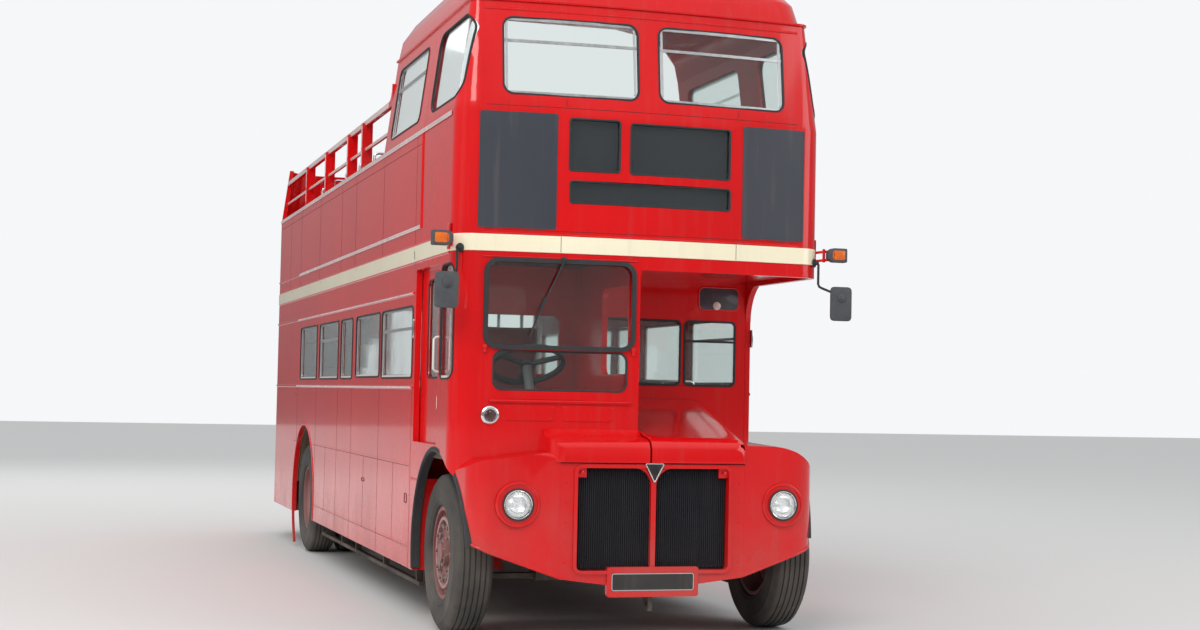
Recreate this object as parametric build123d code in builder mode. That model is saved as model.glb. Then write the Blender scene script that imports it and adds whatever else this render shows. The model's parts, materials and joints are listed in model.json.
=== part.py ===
from build123d import *
import os
from math import cos, radians, sin

os.makedirs("parts", exist_ok=True)

# A half-cab double decker bus with a part open upper deck, in millimetres.
# Z is up, the front faces -Y, the driver's (offside) flank is at -X, the kerb (nearside) flank at +X.
# The origin is on the ground, under the middle of the whole bus.

# Whole bus
LENGTH = 9114
BODY_WIDTH = 2432
HEIGHT = 4382
WHEELBASE = 5842
FRONT_OVERHANG = 760
WALL = 40
FIT = 0.3
SWING_GAP = 6

# Heights above the road
SKIRT_Z = 330
DECK_Z = 660
FLOOR_THICK = 40
PLATFORM_Z = 380
CAB_FLOOR_Z = 1130
LIFEGUARD_Z = 220
BAND_LOW_Z = 2385
BAND_HIGH_Z = 2490
UPPER_DECK_Z = 2460
UPPER_WAIST_Z = 3257
RAIL_MID_Z = 3450
RAIL_TOP_Z = 3660
REAR_TOP_Z = 3800
GUTTER_Z = 3955

# Raised mouldings along the skin: low edge, high edge
WAIST_RIB = (1530, 1550)
CORNICE_RIB = (2165, 2185)
PANEL_RIB = (2603, 2619)
UPPER_WAIST_RIB = (UPPER_WAIST_Z - 18, UPPER_WAIST_Z)

# Plan shape, and how far out a cutting block reaches
HALF = BODY_WIDTH / 2
REACH_X = HALF + 100
NOSE_SAG = 62
FRONT_CORNER_R = 150
REAR_CORNER_R = 450
LEAST_CORNER_R = 12
TUMBLEHOME = 90
AXLE_FRONT_Y = -LENGTH / 2 + FRONT_OVERHANG
AXLE_REAR_Y = AXLE_FRONT_Y + WHEELBASE
BAND_PROUD = 6
TAIL_Y = LENGTH / 2 - BAND_PROUD
BODY_FRONT_Y = AXLE_FRONT_Y - 530
BULKHEAD_Y = AXLE_FRONT_Y + 750
BAY = 1219
SHORT_BAY = 711
FIRST_PILLAR_Y = AXLE_FRONT_Y + 770
PILLARS_Y = [FIRST_PILLAR_Y, FIRST_PILLAR_Y + BAY, FIRST_PILLAR_Y + 2 * BAY,
             FIRST_PILLAR_Y + 2 * BAY + SHORT_BAY, FIRST_PILLAR_Y + 3 * BAY + SHORT_BAY,
             FIRST_PILLAR_Y + 4 * BAY + SHORT_BAY]
REAR_BULKHEAD_Y = PILLARS_Y[5]
PLATFORM_Y = REAR_BULKHEAD_Y + 200
ROOF_END_Y = AXLE_FRONT_Y + 2040

# Wheels and tyres
TYRE_R = 500
TYRE_WIDTH = 250
RIM_R = 292
HUB_R = 110
STUB_R = 40
AXLE_R = 60
FRONT_TRACK_X = 1050
REAR_OUTER_X = 1065
REAR_INNER_X = 775
KINGPIN_X = 905
ARCH_R = 650
REAR_ARCH_R = 675

# Cab
CAB_INNER_X = -40
CAB_SKIN_Z = 940
CAB_FRONT_Z = 1172
CAB_DOOR_Y = (AXLE_FRONT_Y - 35, AXLE_FRONT_Y + 700)
CAB_DOOR_Z = (1180, 2325)
DOOR_LAP = 25
DOOR_THICK = 28

# Front end: the grille's plane and half width
GRILLE_Y = AXLE_FRONT_Y - 740
GRILLE_PANEL_X = 595

# The bonnet's hinge line, beside the cab
BONNET_X = CAB_INNER_X + 20
BONNET_LIP_Y = AXLE_FRONT_Y - FRONT_OVERHANG
BONNET_BACK_Y = BULKHEAD_Y - SWING_GAP
HINGE_FRONT_Z = 1245
HINGE_BACK_Z = 1500
HINGE_R = 7
HINGE_PIN_Y = (BONNET_LIP_Y + 60, BONNET_BACK_Y - 2)
HINGE_LUG = 60
HINGE_LUGS_Y = (AXLE_FRONT_Y - 350, AXLE_FRONT_Y + 80, AXLE_FRONT_Y + 500)

# Glass, and where a cut through a flank or the front starts
PANE = 6
PANE_INSET = 14
SIDE_CUT_X = 960
FRONT_CUT = 300


def block(x0, x1, y0, y1, z0, z1, mode=Mode.ADD):
    """A block given by its six faces."""
    with Locations(((x0 + x1) / 2, (y0 + y1) / 2, (z0 + z1) / 2)):
        Box(abs(x1 - x0), abs(y1 - y0), abs(z1 - z0), mode=mode)


def rod(start, end, radius, mode=Mode.ADD):
    """A round bar from one point to another."""
    run = Vector(*end) - Vector(*start)
    with BuildSketch(Plane(origin=start, z_dir=run)) as section:
        Circle(radius)
    extrude(section.sketch, amount=run.length, dir=run.normalized(), mode=mode)


def hinge_z(y):
    """How high the bonnet's hinge line is at this place along the bus."""
    share = (y - BONNET_LIP_Y) / (BONNET_BACK_Y - BONNET_LIP_Y)
    return HINGE_FRONT_Z + share * (HINGE_BACK_Z - HINGE_FRONT_Z)


def hinge_pin(radius, mode=Mode.ADD):
    """The bonnet's hinge pin, or the bore round it."""
    front_y, back_y = HINGE_PIN_Y
    rod((BONNET_X, front_y, hinge_z(front_y)), (BONNET_X, back_y, hinge_z(back_y)), radius, mode)


def body_plan(inset=0, corner=FRONT_CORNER_R, mode=Mode.ADD):
    """The body seen from above, this far in from the skin."""
    half = HALF - inset
    nose_y = BODY_FRONT_Y + inset
    corner_y = nose_y + NOSE_SAG
    tail_y = TAIL_Y - inset
    nose_r = max(corner - inset, LEAST_CORNER_R)
    tail_r = max(REAR_CORNER_R - inset, LEAST_CORNER_R)
    k = sin(radians(45))
    with BuildLine() as outline:
        ThreePointArc((-(half - nose_r), corner_y), (0, nose_y), (half - nose_r, corner_y))
        for side in (-1, 1):
            ThreePointArc((side * (half - nose_r), corner_y),
                          (side * (half - nose_r + k * nose_r), corner_y + nose_r - k * nose_r),
                          (side * half, corner_y + nose_r))
            Line((side * half, corner_y + nose_r), (side * half, tail_y - tail_r))
            ThreePointArc((side * half, tail_y - tail_r),
                          (side * (half - tail_r + k * tail_r), tail_y - tail_r + k * tail_r),
                          (side * (half - tail_r), tail_y))
        Line((-(half - tail_r), tail_y), (half - tail_r, tail_y))
    make_face(outline.edges(), mode=mode)


def plan_block(inset, z0, z1, mode=Mode.ADD):
    """The whole body's plan between two heights."""
    with BuildSketch(Plane.XY.offset(z0)) as whole:
        body_plan(inset)
    extrude(whole.sketch, amount=z1 - z0, mode=mode)


def upright_wall(outer, inner, z0, z1):
    """A wall all round the body between two insets."""
    with BuildSketch(Plane.XY.offset(z0)) as ring:
        body_plan(outer)
        body_plan(inner, mode=Mode.SUBTRACT)
    extrude(ring.sketch, amount=z1 - z0)


def lower_wall():
    """The lower deck's skin with its two mouldings."""
    upright_wall(0, WALL, SKIRT_Z, BAND_LOW_Z)
    for low, high in (WAIST_RIB, CORNICE_RIB):
        upright_wall(-BAND_PROUD, WALL / 2, low, high)


def leaning_block(inset0, inset1, z0, z1, mode=Mode.ADD):
    """The body's plan, drawn in as it rises."""
    with BuildSketch(Plane.XY.offset(z0)) as low:
        body_plan(inset0)
    with BuildSketch(Plane.XY.offset(z1)) as high:
        body_plan(inset1)
    loft([low.sketch, high.sketch], ruled=True, mode=mode)


def upper_walls(outer, inner, top=GUTTER_Z):
    """Upper deck walls: upright to the waist, then leaning in to the gutter."""
    lean = TUMBLEHOME * (top - UPPER_WAIST_Z) / (GUTTER_Z - UPPER_WAIST_Z)
    leaning_block(outer, outer + lean, UPPER_WAIST_Z, top)
    leaning_block(inner, inner + lean, UPPER_WAIST_Z, top, mode=Mode.SUBTRACT)
    upright_wall(outer, inner, BAND_HIGH_Z, UPPER_WAIST_Z)


def upper_ribs():
    """The mouldings round the upper deck's panels."""
    for low, high in (PANEL_RIB, UPPER_WAIST_RIB):
        upright_wall(-BAND_PROUD, WALL / 2, low, high)


def deck_length(side, front_y, back_y, mode=Mode.INTERSECT):
    """One side of the body, between two places along it."""
    block(0, side * REACH_X, front_y, back_y, 0, HEIGHT + 1, mode)


def side_openings(side, rows, gap=0, mode=Mode.SUBTRACT):
    """Rounded windows through one flank. Each row is front, back, low, high, corner radius."""
    with BuildSketch(Plane.YZ.offset(side * SIDE_CUT_X)) as windows:
        for front, back, low, high, radius in rows:
            with Locations(((front + back) / 2, (low + high) / 2)):
                RectangleRounded(back - front - 2 * gap, high - low - 2 * gap, radius - gap)
    extrude(windows.sketch, amount=side * (HALF + WALL - SIDE_CUT_X), mode=mode)


def front_openings(rows, depth_y, gap=0, mode=Mode.SUBTRACT):
    """Rounded windows through the front. Each row is left, right, low, high, corner radius."""
    with BuildSketch(Plane.XZ.offset(-depth_y)) as windows:
        for left, right, low, high, radius in rows:
            with Locations(((left + right) / 2, (low + high) / 2)):
                RectangleRounded(right - left - 2 * gap, high - low - 2 * gap, radius - gap)
    extrude(windows.sketch, amount=depth_y - BODY_FRONT_Y + WALL, mode=mode)


def front_relief(rows, proud, sunk=WALL / 2):
    """Raised shapes on the body's front skin, which they reach into."""
    with BuildPart() as relief:
        upright_wall(-proud, sunk, SKIRT_Z, GUTTER_Z)
        front_openings(rows, BODY_FRONT_Y + FRONT_CUT, 0, Mode.INTERSECT)
    return relief.part


def wheel_hole(side, y, radius, inner_x, mode=Mode.SUBTRACT, proud=WALL):
    """A disc round a wheel, from inside one flank out past it: as a cut, the wheel arch."""
    with BuildSketch(Plane.YZ.offset(side * inner_x)) as arch:
        with Locations((y, TYRE_R)):
            Circle(radius)
    extrude(arch.sketch, amount=side * (HALF + proud - inner_x), mode=mode)


# Windows: front, back, low, high, corner radius
LOWER_WINDOWS = [
    (PILLARS_Y[0] + 10, PILLARS_Y[1] - 50, 1600, 2095, 50),
    (PILLARS_Y[1] + 20, PILLARS_Y[2] - 150, 1610, 2095, 50),
    (PILLARS_Y[2] + 10, PILLARS_Y[3] - 110, 1600, 2095, 50),
    (PILLARS_Y[3] + 10, PILLARS_Y[4] - 140, 1600, 2095, 50),
    (PILLARS_Y[4] + 10, PILLARS_Y[5] - 140, 1600, 2095, 50),
]
UPPER_SIDE_WINDOWS = [
    (AXLE_FRONT_Y - 400, AXLE_FRONT_Y + 450, 3340, 3875, 110),
    (AXLE_FRONT_Y + 800, AXLE_FRONT_Y + 1850, 3340, 3870, 70),
]
UPPER_FRONT_WINDOWS = [
    (-940, -63, 3360, 3860, 70),
    (63, 940, 3360, 3860, 70),
]
BLIND_WINDOWS = [
    (-521, -186, 2897, 3233, 25),
    (-127, 555, 2893, 3222, 25),
    (-513, 559, 2695, 2843, 25),
]
CAB_QUARTER_WINDOW = [(AXLE_FRONT_Y - 395, AXLE_FRONT_Y - 90, 1590, 2315, 70)]
WINDSCREEN = [(-1020, -84, 1797, 2335, 80)]
LOWER_SCREEN = [(-970, -115, 1530, 1780, 60)]
BULKHEAD_WINDOWS = [(120, 690, 1590, 2050, 40), (715, 1100, 1590, 2050, 40), (-980, -200, 1650, 2050, 50)]
REAR_WINDOW = [(-750, -50, 1300, 2095, 80)]

# Lower deck walls, with a raised lip round each rear arch
ARCH_LIP = 16
for side, word, back_y in ((-1, "offside", REAR_BULKHEAD_Y), (1, "nearside", PLATFORM_Y)):
    with BuildPart() as lower_side:
        lower_wall()
        wheel_hole(side, AXLE_REAR_Y, REAR_ARCH_R + ARCH_LIP, HALF - WALL / 2, Mode.ADD, BAND_PROUD)
        deck_length(side, BULKHEAD_Y, back_y)
        block(0, side * REACH_X, BULKHEAD_Y, back_y, 0, SKIRT_Z, Mode.SUBTRACT)
        side_openings(side, LOWER_WINDOWS)
        wheel_hole(side, AXLE_REAR_Y, REAR_ARCH_R, HALF - 2 * WALL)
    lower_side.part.label = "lower_side_" + word
    export_step(lower_side.part, "parts/lower_side_" + word + ".step")

# The offside rear corner and the stair panel beside the open platform
STAIR_PANEL_X = 60
with BuildPart() as lower_rear:
    lower_wall()
    wheel_hole(-1, AXLE_REAR_Y, REAR_ARCH_R + ARCH_LIP, HALF - WALL / 2, Mode.ADD, BAND_PROUD)
    block(-REACH_X, STAIR_PANEL_X, REAR_BULKHEAD_Y, TAIL_Y + WALL, 0, HEIGHT, Mode.INTERSECT)
    wheel_hole(-1, AXLE_REAR_Y, REAR_ARCH_R, HALF - 2 * WALL)
    with BuildSketch(Plane.XZ):
        for left, right, low, high, radius in REAR_WINDOW:
            with Locations(((left + right) / 2, (low + high) / 2)):
                RectangleRounded(right - left, high - low, radius)
    extrude(amount=-(TAIL_Y + WALL), mode=Mode.SUBTRACT)
lower_rear.part.label = "lower_rear"
export_step(lower_rear.part, "parts/lower_rear.step")

# Driver's cab: front and offside skin in one, open for the sliding door, the screens and the corner lamp
CAB_COVERS = [(-893, -586, 1350, 1440, 20), (-522, -210, 1350, 1440, 20)]
CAB_SILL = [(-990, -90, 1458, 1478, 5)]
COVER_PROUD = 5
SILL_PROUD = 14
CORNER_LAMP = (-977, 1377)
CORNER_LAMP_R = 58
cab_covers = front_relief(CAB_COVERS, COVER_PROUD)
cab_sill = front_relief(CAB_SILL, SILL_PROUD)
with BuildPart() as cab_shell:
    upright_wall(0, WALL, CAB_SKIN_Z, BAND_LOW_Z)
    add(cab_covers)
    add(cab_sill)
    block(-REACH_X, CAB_INNER_X, BODY_FRONT_Y - WALL, BULKHEAD_Y, 0, HEIGHT, Mode.INTERSECT)
    block(-GRILLE_PANEL_X, CAB_INNER_X, BODY_FRONT_Y - WALL, BODY_FRONT_Y + FRONT_CUT,
          0, CAB_FRONT_Z, Mode.SUBTRACT)
    block(-HALF - 1, -HALF + 2 * WALL, *CAB_DOOR_Y, *CAB_DOOR_Z, Mode.SUBTRACT)
    wheel_hole(-1, AXLE_FRONT_Y, ARCH_R, HALF - 2 * WALL)
    side_openings(-1, CAB_QUARTER_WINDOW)
    front_openings(WINDSCREEN + LOWER_SCREEN, BODY_FRONT_Y + FRONT_CUT)
    rod((CORNER_LAMP[0], BODY_FRONT_Y - WALL, CORNER_LAMP[1]),
        (CORNER_LAMP[0], BODY_FRONT_Y + FRONT_CUT, CORNER_LAMP[1]), CORNER_LAMP_R + FIT, Mode.SUBTRACT)
cab_shell.part.label = "cab_shell"
export_step(cab_shell.part, "parts/cab_shell.step")

# Rubber frame standing out round the windscreen: the opening grown outwards and inwards
SCREEN_FRAME_OUTER = [(-1033, -70, 1784, 2348, 92)]
SCREEN_FRAME_INNER = [(-1005, -98, 1812, 2320, 66)]
SCREEN_FRAME_PROUD = 16
with BuildPart() as windscreen_frame:
    upright_wall(-SCREEN_FRAME_PROUD, 0, SKIRT_Z, BAND_LOW_Z)
    front_openings(SCREEN_FRAME_OUTER, BODY_FRONT_Y + FRONT_CUT, 0, Mode.INTERSECT)
    front_openings(SCREEN_FRAME_INNER, BODY_FRONT_Y + FRONT_CUT)
windscreen_frame.part.label = "windscreen_frame"
export_step(windscreen_frame.part, "parts/windscreen_frame.step")

# The cab's inner wall beside the bonnet, with its window and the lugs that cradle the bonnet's hinge pin
with BuildPart() as cab_inner_wall:
    block(CAB_INNER_X - WALL, CAB_INNER_X, BODY_FRONT_Y + WALL + 5, BULKHEAD_Y - FIT,
          CAB_FLOOR_Z, BAND_LOW_Z)
    with BuildSketch(Plane.YZ.offset(CAB_INNER_X)):
        with Locations((AXLE_FRONT_Y - 130, 1930)):
            RectangleRounded(560, 560, 60)
    extrude(amount=-WALL, mode=Mode.SUBTRACT)
    for y in HINGE_LUGS_Y:
        block(CAB_INNER_X, BONNET_X - FIT, y - HINGE_LUG / 2, y + HINGE_LUG / 2,
              hinge_z(y) - 3 * HINGE_R, hinge_z(y) + 3 * HINGE_R)
    hinge_pin(HINGE_R + FIT, Mode.SUBTRACT)
cab_inner_wall.part.label = "cab_inner_wall"
export_step(cab_inner_wall.part, "parts/cab_inner_wall.step")

# Front bulkhead between the saloon and the engine and cab, short of the cab door's pocket
DOOR_POCKET = WALL + 5 + DOOR_THICK + 8
with BuildPart() as front_bulkhead:
    block(-HALF + DOOR_POCKET, HALF - WALL, BULKHEAD_Y, BULKHEAD_Y + WALL,
          DECK_Z - FLOOR_THICK, BAND_LOW_Z)
    with BuildSketch(Plane.XZ.offset(-BULKHEAD_Y)):
        for left, right, low, high, radius in BULKHEAD_WINDOWS:
            with Locations(((left + right) / 2, (low + high) / 2)):
                RectangleRounded(right - left, high - low, radius)
    extrude(amount=-WALL, mode=Mode.SUBTRACT)
front_bulkhead.part.label = "front_bulkhead"
export_step(front_bulkhead.part, "parts/front_bulkhead.step")

# Canopy over the bonnet, with its hanging edge, the curve at the cab and the bracket at the bulkhead
CANOPY_Z = 2330
FASCIA_Z = 2300
CAB_CURVE_R = 90
BRACKET_R = 275
with BuildPart() as canopy:
    upright_wall(0, WALL, FASCIA_Z, CANOPY_Z + 1)
    plan_block(0, CANOPY_Z, BAND_LOW_Z)
    block(CAB_INNER_X + FIT, REACH_X, BODY_FRONT_Y - 1, BULKHEAD_Y - FIT, 0, HEIGHT, Mode.INTERSECT)
    curve_x, curve_z = CAB_INNER_X + FIT, CANOPY_Z
    with BuildSketch(Plane.XZ.offset(-(BODY_FRONT_Y + WALL + 10))) as cab_curve:
        with Locations((curve_x + CAB_CURVE_R / 2, curve_z - CAB_CURVE_R / 2)):
            Rectangle(CAB_CURVE_R, CAB_CURVE_R)
        with Locations((curve_x + CAB_CURVE_R, curve_z - CAB_CURVE_R)):
            Circle(CAB_CURVE_R - 1, mode=Mode.SUBTRACT)
    extrude(cab_curve.sketch, amount=WALL)
    bracket_y = BULKHEAD_Y - FIT
    with BuildSketch(Plane.YZ.offset(HALF - WALL)) as bracket:
        with Locations((bracket_y - BRACKET_R / 2, CANOPY_Z - BRACKET_R / 2)):
            Rectangle(BRACKET_R, BRACKET_R)
        with Locations((bracket_y - BRACKET_R, CANOPY_Z - BRACKET_R)):
            Circle(BRACKET_R - 1, mode=Mode.SUBTRACT)
    extrude(bracket.sketch, amount=WALL)
canopy.part.label = "canopy"
export_step(canopy.part, "parts/canopy.step")

# Cream band round the front and both sides, between the decks
with BuildPart() as cream_band:
    upright_wall(-BAND_PROUD, WALL, BAND_LOW_Z, BAND_HIGH_Z)
cream_band.part.label = "cream_band"
export_step(cream_band.part, "parts/cream_band.step")

# Upper deck walls
UPPER_FRONT_END_Y = AXLE_FRONT_Y + 600
with BuildPart() as upper_front:
    upper_walls(0, WALL)
    block(-REACH_X, REACH_X, BODY_FRONT_Y - 1, UPPER_FRONT_END_Y, 0, HEIGHT, Mode.INTERSECT)
    front_openings(UPPER_FRONT_WINDOWS + BLIND_WINDOWS, BODY_FRONT_Y + FRONT_CUT)
    side_openings(-1, UPPER_SIDE_WINDOWS)
    side_openings(1, UPPER_SIDE_WINDOWS)
upper_front.part.label = "upper_front"
export_step(upper_front.part, "parts/upper_front.step")

OPEN_SIDE_TOP_Z = UPPER_WAIST_Z + 20
for side, word in ((-1, "offside"), (1, "nearside")):
    with BuildPart() as upper_side:
        upper_walls(0, WALL)
        upper_ribs()
        deck_length(side, UPPER_FRONT_END_Y, TAIL_Y - REAR_CORNER_R)
        block(0, side * REACH_X, ROOF_END_Y, TAIL_Y, OPEN_SIDE_TOP_Z, HEIGHT, Mode.SUBTRACT)
        side_openings(side, UPPER_SIDE_WINDOWS)
    upper_side.part.label = "upper_side_" + word
    export_step(upper_side.part, "parts/upper_side_" + word + ".step")

with BuildPart() as upper_rear:
    upper_walls(0, WALL, REAR_TOP_Z)
    upper_ribs()
    block(-REACH_X, REACH_X, TAIL_Y - REAR_CORNER_R, TAIL_Y + WALL, 0, HEIGHT, Mode.INTERSECT)
upper_rear.part.label = "upper_rear"
export_step(upper_rear.part, "parts/upper_rear.step")

# Domed roof over the front of the upper deck: inset, height, corner radius
ROOF_SECTIONS = [
    (0.00, 0.00, 160),
    (0.06, 0.36, 190),
    (0.24, 0.68, 230),
    (0.52, 0.88, 280),
    (1.00, 1.00, 300),
]
ROOF_SHOULDER = 520
GUTTER_PROUD = 14
GUTTER_TALL = 15


def roof_block(inset, top_z, mode=Mode.ADD):
    """The domed roof as stacked plans that draw in as they rise."""
    rise = top_z - GUTTER_Z
    sections = []
    for share_in, share_up, corner in ROOF_SECTIONS:
        with BuildSketch(Plane.XY.offset(GUTTER_Z + share_up * rise)) as section:
            inward = TUMBLEHOME + inset + share_in * ROOF_SHOULDER
            body_plan(inward, corner + inward)
        sections.append(section.sketch)
    loft(sections, ruled=True, mode=mode)


with BuildPart() as front_roof:
    roof_block(0, HEIGHT)
    roof_block(WALL, HEIGHT - WALL, Mode.SUBTRACT)
    upright_wall(TUMBLEHOME - GUTTER_PROUD, TUMBLEHOME + WALL / 2, GUTTER_Z, GUTTER_Z + GUTTER_TALL)
    block(-HALF, HALF, BODY_FRONT_Y - 1, ROOF_END_Y, 0, HEIGHT + 1, Mode.INTERSECT)
front_roof.part.label = "front_roof"
export_step(front_roof.part, "parts/front_roof.step")

# Floors
WHEEL_BOX_X = 600
BOX_THICK = 20
with BuildPart() as lower_floor:
    block(-HALF + WALL, HALF - WALL, BULKHEAD_Y + WALL, PLATFORM_Y, DECK_Z - FLOOR_THICK, DECK_Z)
    for side in (-1, 1):
        wheel_hole(side, AXLE_REAR_Y, REAR_ARCH_R - BOX_THICK, WHEEL_BOX_X)
lower_floor.part.label = "lower_floor"
export_step(lower_floor.part, "parts/lower_floor.step")

# Wheel boxes over the rear wheels, under the long seats
with BuildPart() as wheel_boxes:
    for side in (-1, 1):
        with BuildSketch(Plane.YZ.offset(side * WHEEL_BOX_X)):
            with Locations((AXLE_REAR_Y, TYRE_R)):
                Circle(REAR_ARCH_R)
                Circle(REAR_ARCH_R - BOX_THICK, mode=Mode.SUBTRACT)
        extrude(amount=side * (HALF - WALL - WHEEL_BOX_X))
        with BuildSketch(Plane.YZ.offset(side * (WHEEL_BOX_X - BOX_THICK))):
            with Locations((AXLE_REAR_Y, TYRE_R)):
                Circle(REAR_ARCH_R)
        extrude(amount=side * BOX_THICK)
    block(-HALF, HALF, AXLE_REAR_Y - 900, AXLE_REAR_Y + 900, DECK_Z, HEIGHT, Mode.INTERSECT)
wheel_boxes.part.label = "wheel_boxes"
export_step(wheel_boxes.part, "parts/wheel_boxes.step")

with BuildPart() as platform:
    with BuildSketch(Plane.XY.offset(PLATFORM_Z - 50)):
        body_plan(WALL)
    extrude(amount=50)
    block(-HALF, HALF, PLATFORM_Y + FIT, TAIL_Y, 0, HEIGHT, Mode.INTERSECT)
platform.part.label = "platform"
export_step(platform.part, "parts/platform.step")

with BuildPart() as cab_floor:
    with BuildSketch(Plane.XY.offset(CAB_FLOOR_Z - FLOOR_THICK)):
        body_plan(WALL + 1)
    extrude(amount=40)
    block(-HALF, CAB_INNER_X, BODY_FRONT_Y, BULKHEAD_Y, 0, HEIGHT, Mode.INTERSECT)
cab_floor.part.label = "cab_floor"
export_step(cab_floor.part, "parts/cab_floor.step")

STAIR_WELL_X = (-HALF + WALL, -350)
STAIR_WELL_Y = (AXLE_FRONT_Y + 6400, AXLE_FRONT_Y + 8100)
with BuildPart() as upper_floor:
    with BuildSketch(Plane.XY.offset(BAND_LOW_Z + FIT)):
        body_plan(WALL + FIT)
    extrude(amount=UPPER_DECK_Z - BAND_LOW_Z - FIT)
    block(*STAIR_WELL_X, *STAIR_WELL_Y, 0, HEIGHT, Mode.SUBTRACT)
upper_floor.part.label = "upper_floor"
export_step(upper_floor.part, "parts/upper_floor.step")

# Panes: a thin shell set back from the skin, cut to the windows
with BuildPart() as saloon_window_shapes:
    for side in (-1, 1):
        side_openings(side, LOWER_WINDOWS, FIT, Mode.ADD)
with BuildPart() as bulkhead_glass:
    with BuildSketch(Plane.XZ.offset(-BULKHEAD_Y - PANE_INSET)) as bulkhead_panes:
        for left, right, low, high, radius in BULKHEAD_WINDOWS:
            with Locations(((left + right) / 2, (low + high) / 2)):
                RectangleRounded(right - left - 2 * FIT, high - low - 2 * FIT, radius - FIT)
    extrude(bulkhead_panes.sketch, amount=-PANE)
with BuildPart() as upper_window_shapes:
    for side in (-1, 1):
        side_openings(side, UPPER_SIDE_WINDOWS, FIT, Mode.ADD)
    front_openings(UPPER_FRONT_WINDOWS + BLIND_WINDOWS, BODY_FRONT_Y + FRONT_CUT, FIT, Mode.ADD)
with BuildPart() as cab_window_shapes:
    side_openings(-1, CAB_QUARTER_WINDOW, FIT, Mode.ADD)
    front_openings(WINDSCREEN + LOWER_SCREEN, BODY_FRONT_Y + FRONT_CUT, FIT, Mode.ADD)
with BuildPart() as lower_panes:
    upright_wall(PANE_INSET, PANE_INSET + PANE, SKIRT_Z, BAND_LOW_Z)
    add(saloon_window_shapes.part + cab_window_shapes.part, mode=Mode.INTERSECT)
with BuildPart() as window_glass:
    upper_walls(PANE_INSET, PANE_INSET + PANE)
    add(upper_window_shapes.part, mode=Mode.INTERSECT)
    add(lower_panes.part)
    add(bulkhead_glass.part)
window_glass.part.label = "window_glass"
export_step(window_glass.part, "parts/window_glass.step")

# Advertisement boards either side of the blinds
FRONT_BOARDS = [(-1080, -593, 2530, 3250, 15), (640, 1080, 2530, 3250, 15)]
with BuildPart() as front_boards:
    upright_wall(-4, 0, BAND_HIGH_Z, UPPER_WAIST_Z)
    front_openings(FRONT_BOARDS, BODY_FRONT_Y + 500, 0, Mode.INTERSECT)
front_boards.part.label = "front_boards"
export_step(front_boards.part, "parts/front_boards.step")

# Cab door, sliding rearwards inside the skin
DOOR_X = (-HALF + WALL + 5, -HALF + WALL + 5 + DOOR_THICK)
DOOR_WINDOW = [(CAB_DOOR_Y[0] + 60, CAB_DOOR_Y[0] + 540, 1600, 2250, 60)]
with BuildPart() as cab_door:
    block(*DOOR_X, CAB_DOOR_Y[0] - DOOR_LAP, CAB_DOOR_Y[1] + DOOR_LAP,
          CAB_DOOR_Z[0] - DOOR_LAP, CAB_DOOR_Z[1] + DOOR_LAP)
    side_openings(-1, DOOR_WINDOW)
cab_door.part.label = "cab_door"
export_step(cab_door.part, "parts/cab_door.step")

with BuildPart() as cab_door_glass:
    block(DOOR_X[0] + 11, DOOR_X[0] + 17, CAB_DOOR_Y[0], CAB_DOOR_Y[1], CAB_DOOR_Z[0], CAB_DOOR_Z[1])
    side_openings(-1, DOOR_WINDOW, FIT, Mode.INTERSECT)
cab_door_glass.part.label = "cab_door_glass"
export_step(cab_door_glass.part, "parts/cab_door_glass.step")

# Runner that the cab door hangs from, along the inside of the flank
DOOR_TRAVEL = 600
with BuildPart() as door_runner:
    block(-HALF + WALL, DOOR_X[1] + 4, CAB_DOOR_Y[0] - DOOR_LAP, CAB_DOOR_Y[1] + DOOR_LAP + DOOR_TRAVEL,
          CAB_DOOR_Z[1] + DOOR_LAP + FIT, BAND_LOW_Z - FIT)
    block(-HALF, HALF, BULKHEAD_Y - FIT, BULKHEAD_Y + WALL + FIT, 0, CAB_FLOOR_Z, Mode.SUBTRACT)
door_runner.part.label = "door_runner"
export_step(door_runner.part, "parts/door_runner.step")

# Open deck rails: posts, a round middle rail and a flat top rail that curves up into the roof's end
RAIL_INSET = 70
POST_Y = PILLARS_Y[2:6]
POST_WIDE = 50
POST_DEEP = 84
TOP_RAIL_TALL = 45
TOP_RAIL_WIDE = 34
MID_RAIL_R = 15
RAIL_SWEEP_R = 140
RAIL_START_Y = ROOF_END_Y + FIT
RAIL_END_Y = TAIL_Y - REAR_CORNER_R - FIT
with BuildPart() as deck_rails:
    for side in (-1, 1):
        rail_x = side * (HALF - RAIL_INSET)
        for y in POST_Y:
            block(rail_x - POST_DEEP / 2, rail_x + POST_DEEP / 2, y - POST_WIDE / 2, y + POST_WIDE / 2,
                  OPEN_SIDE_TOP_Z, RAIL_TOP_Z)
        block(rail_x - TOP_RAIL_WIDE / 2, rail_x + TOP_RAIL_WIDE / 2, RAIL_START_Y, RAIL_END_Y,
              RAIL_TOP_Z - TOP_RAIL_TALL / 2, RAIL_TOP_Z + TOP_RAIL_TALL / 2)
        rod((rail_x, RAIL_START_Y, RAIL_MID_Z), (rail_x, RAIL_END_Y, RAIL_MID_Z), MID_RAIL_R)
        with BuildSketch(Plane.YZ.offset(rail_x - TOP_RAIL_WIDE / 2)) as sweep_up:
            with Locations((RAIL_START_Y + RAIL_SWEEP_R / 2, RAIL_TOP_Z + RAIL_SWEEP_R / 2)):
                Rectangle(RAIL_SWEEP_R, RAIL_SWEEP_R)
            with Locations((RAIL_START_Y + RAIL_SWEEP_R, RAIL_TOP_Z + RAIL_SWEEP_R)):
                Circle(RAIL_SWEEP_R - TOP_RAIL_TALL / 2, mode=Mode.SUBTRACT)
        extrude(sweep_up.sketch, amount=TOP_RAIL_WIDE)
deck_rails.part.label = "deck_rails"
export_step(deck_rails.part, "parts/deck_rails.step")

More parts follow.
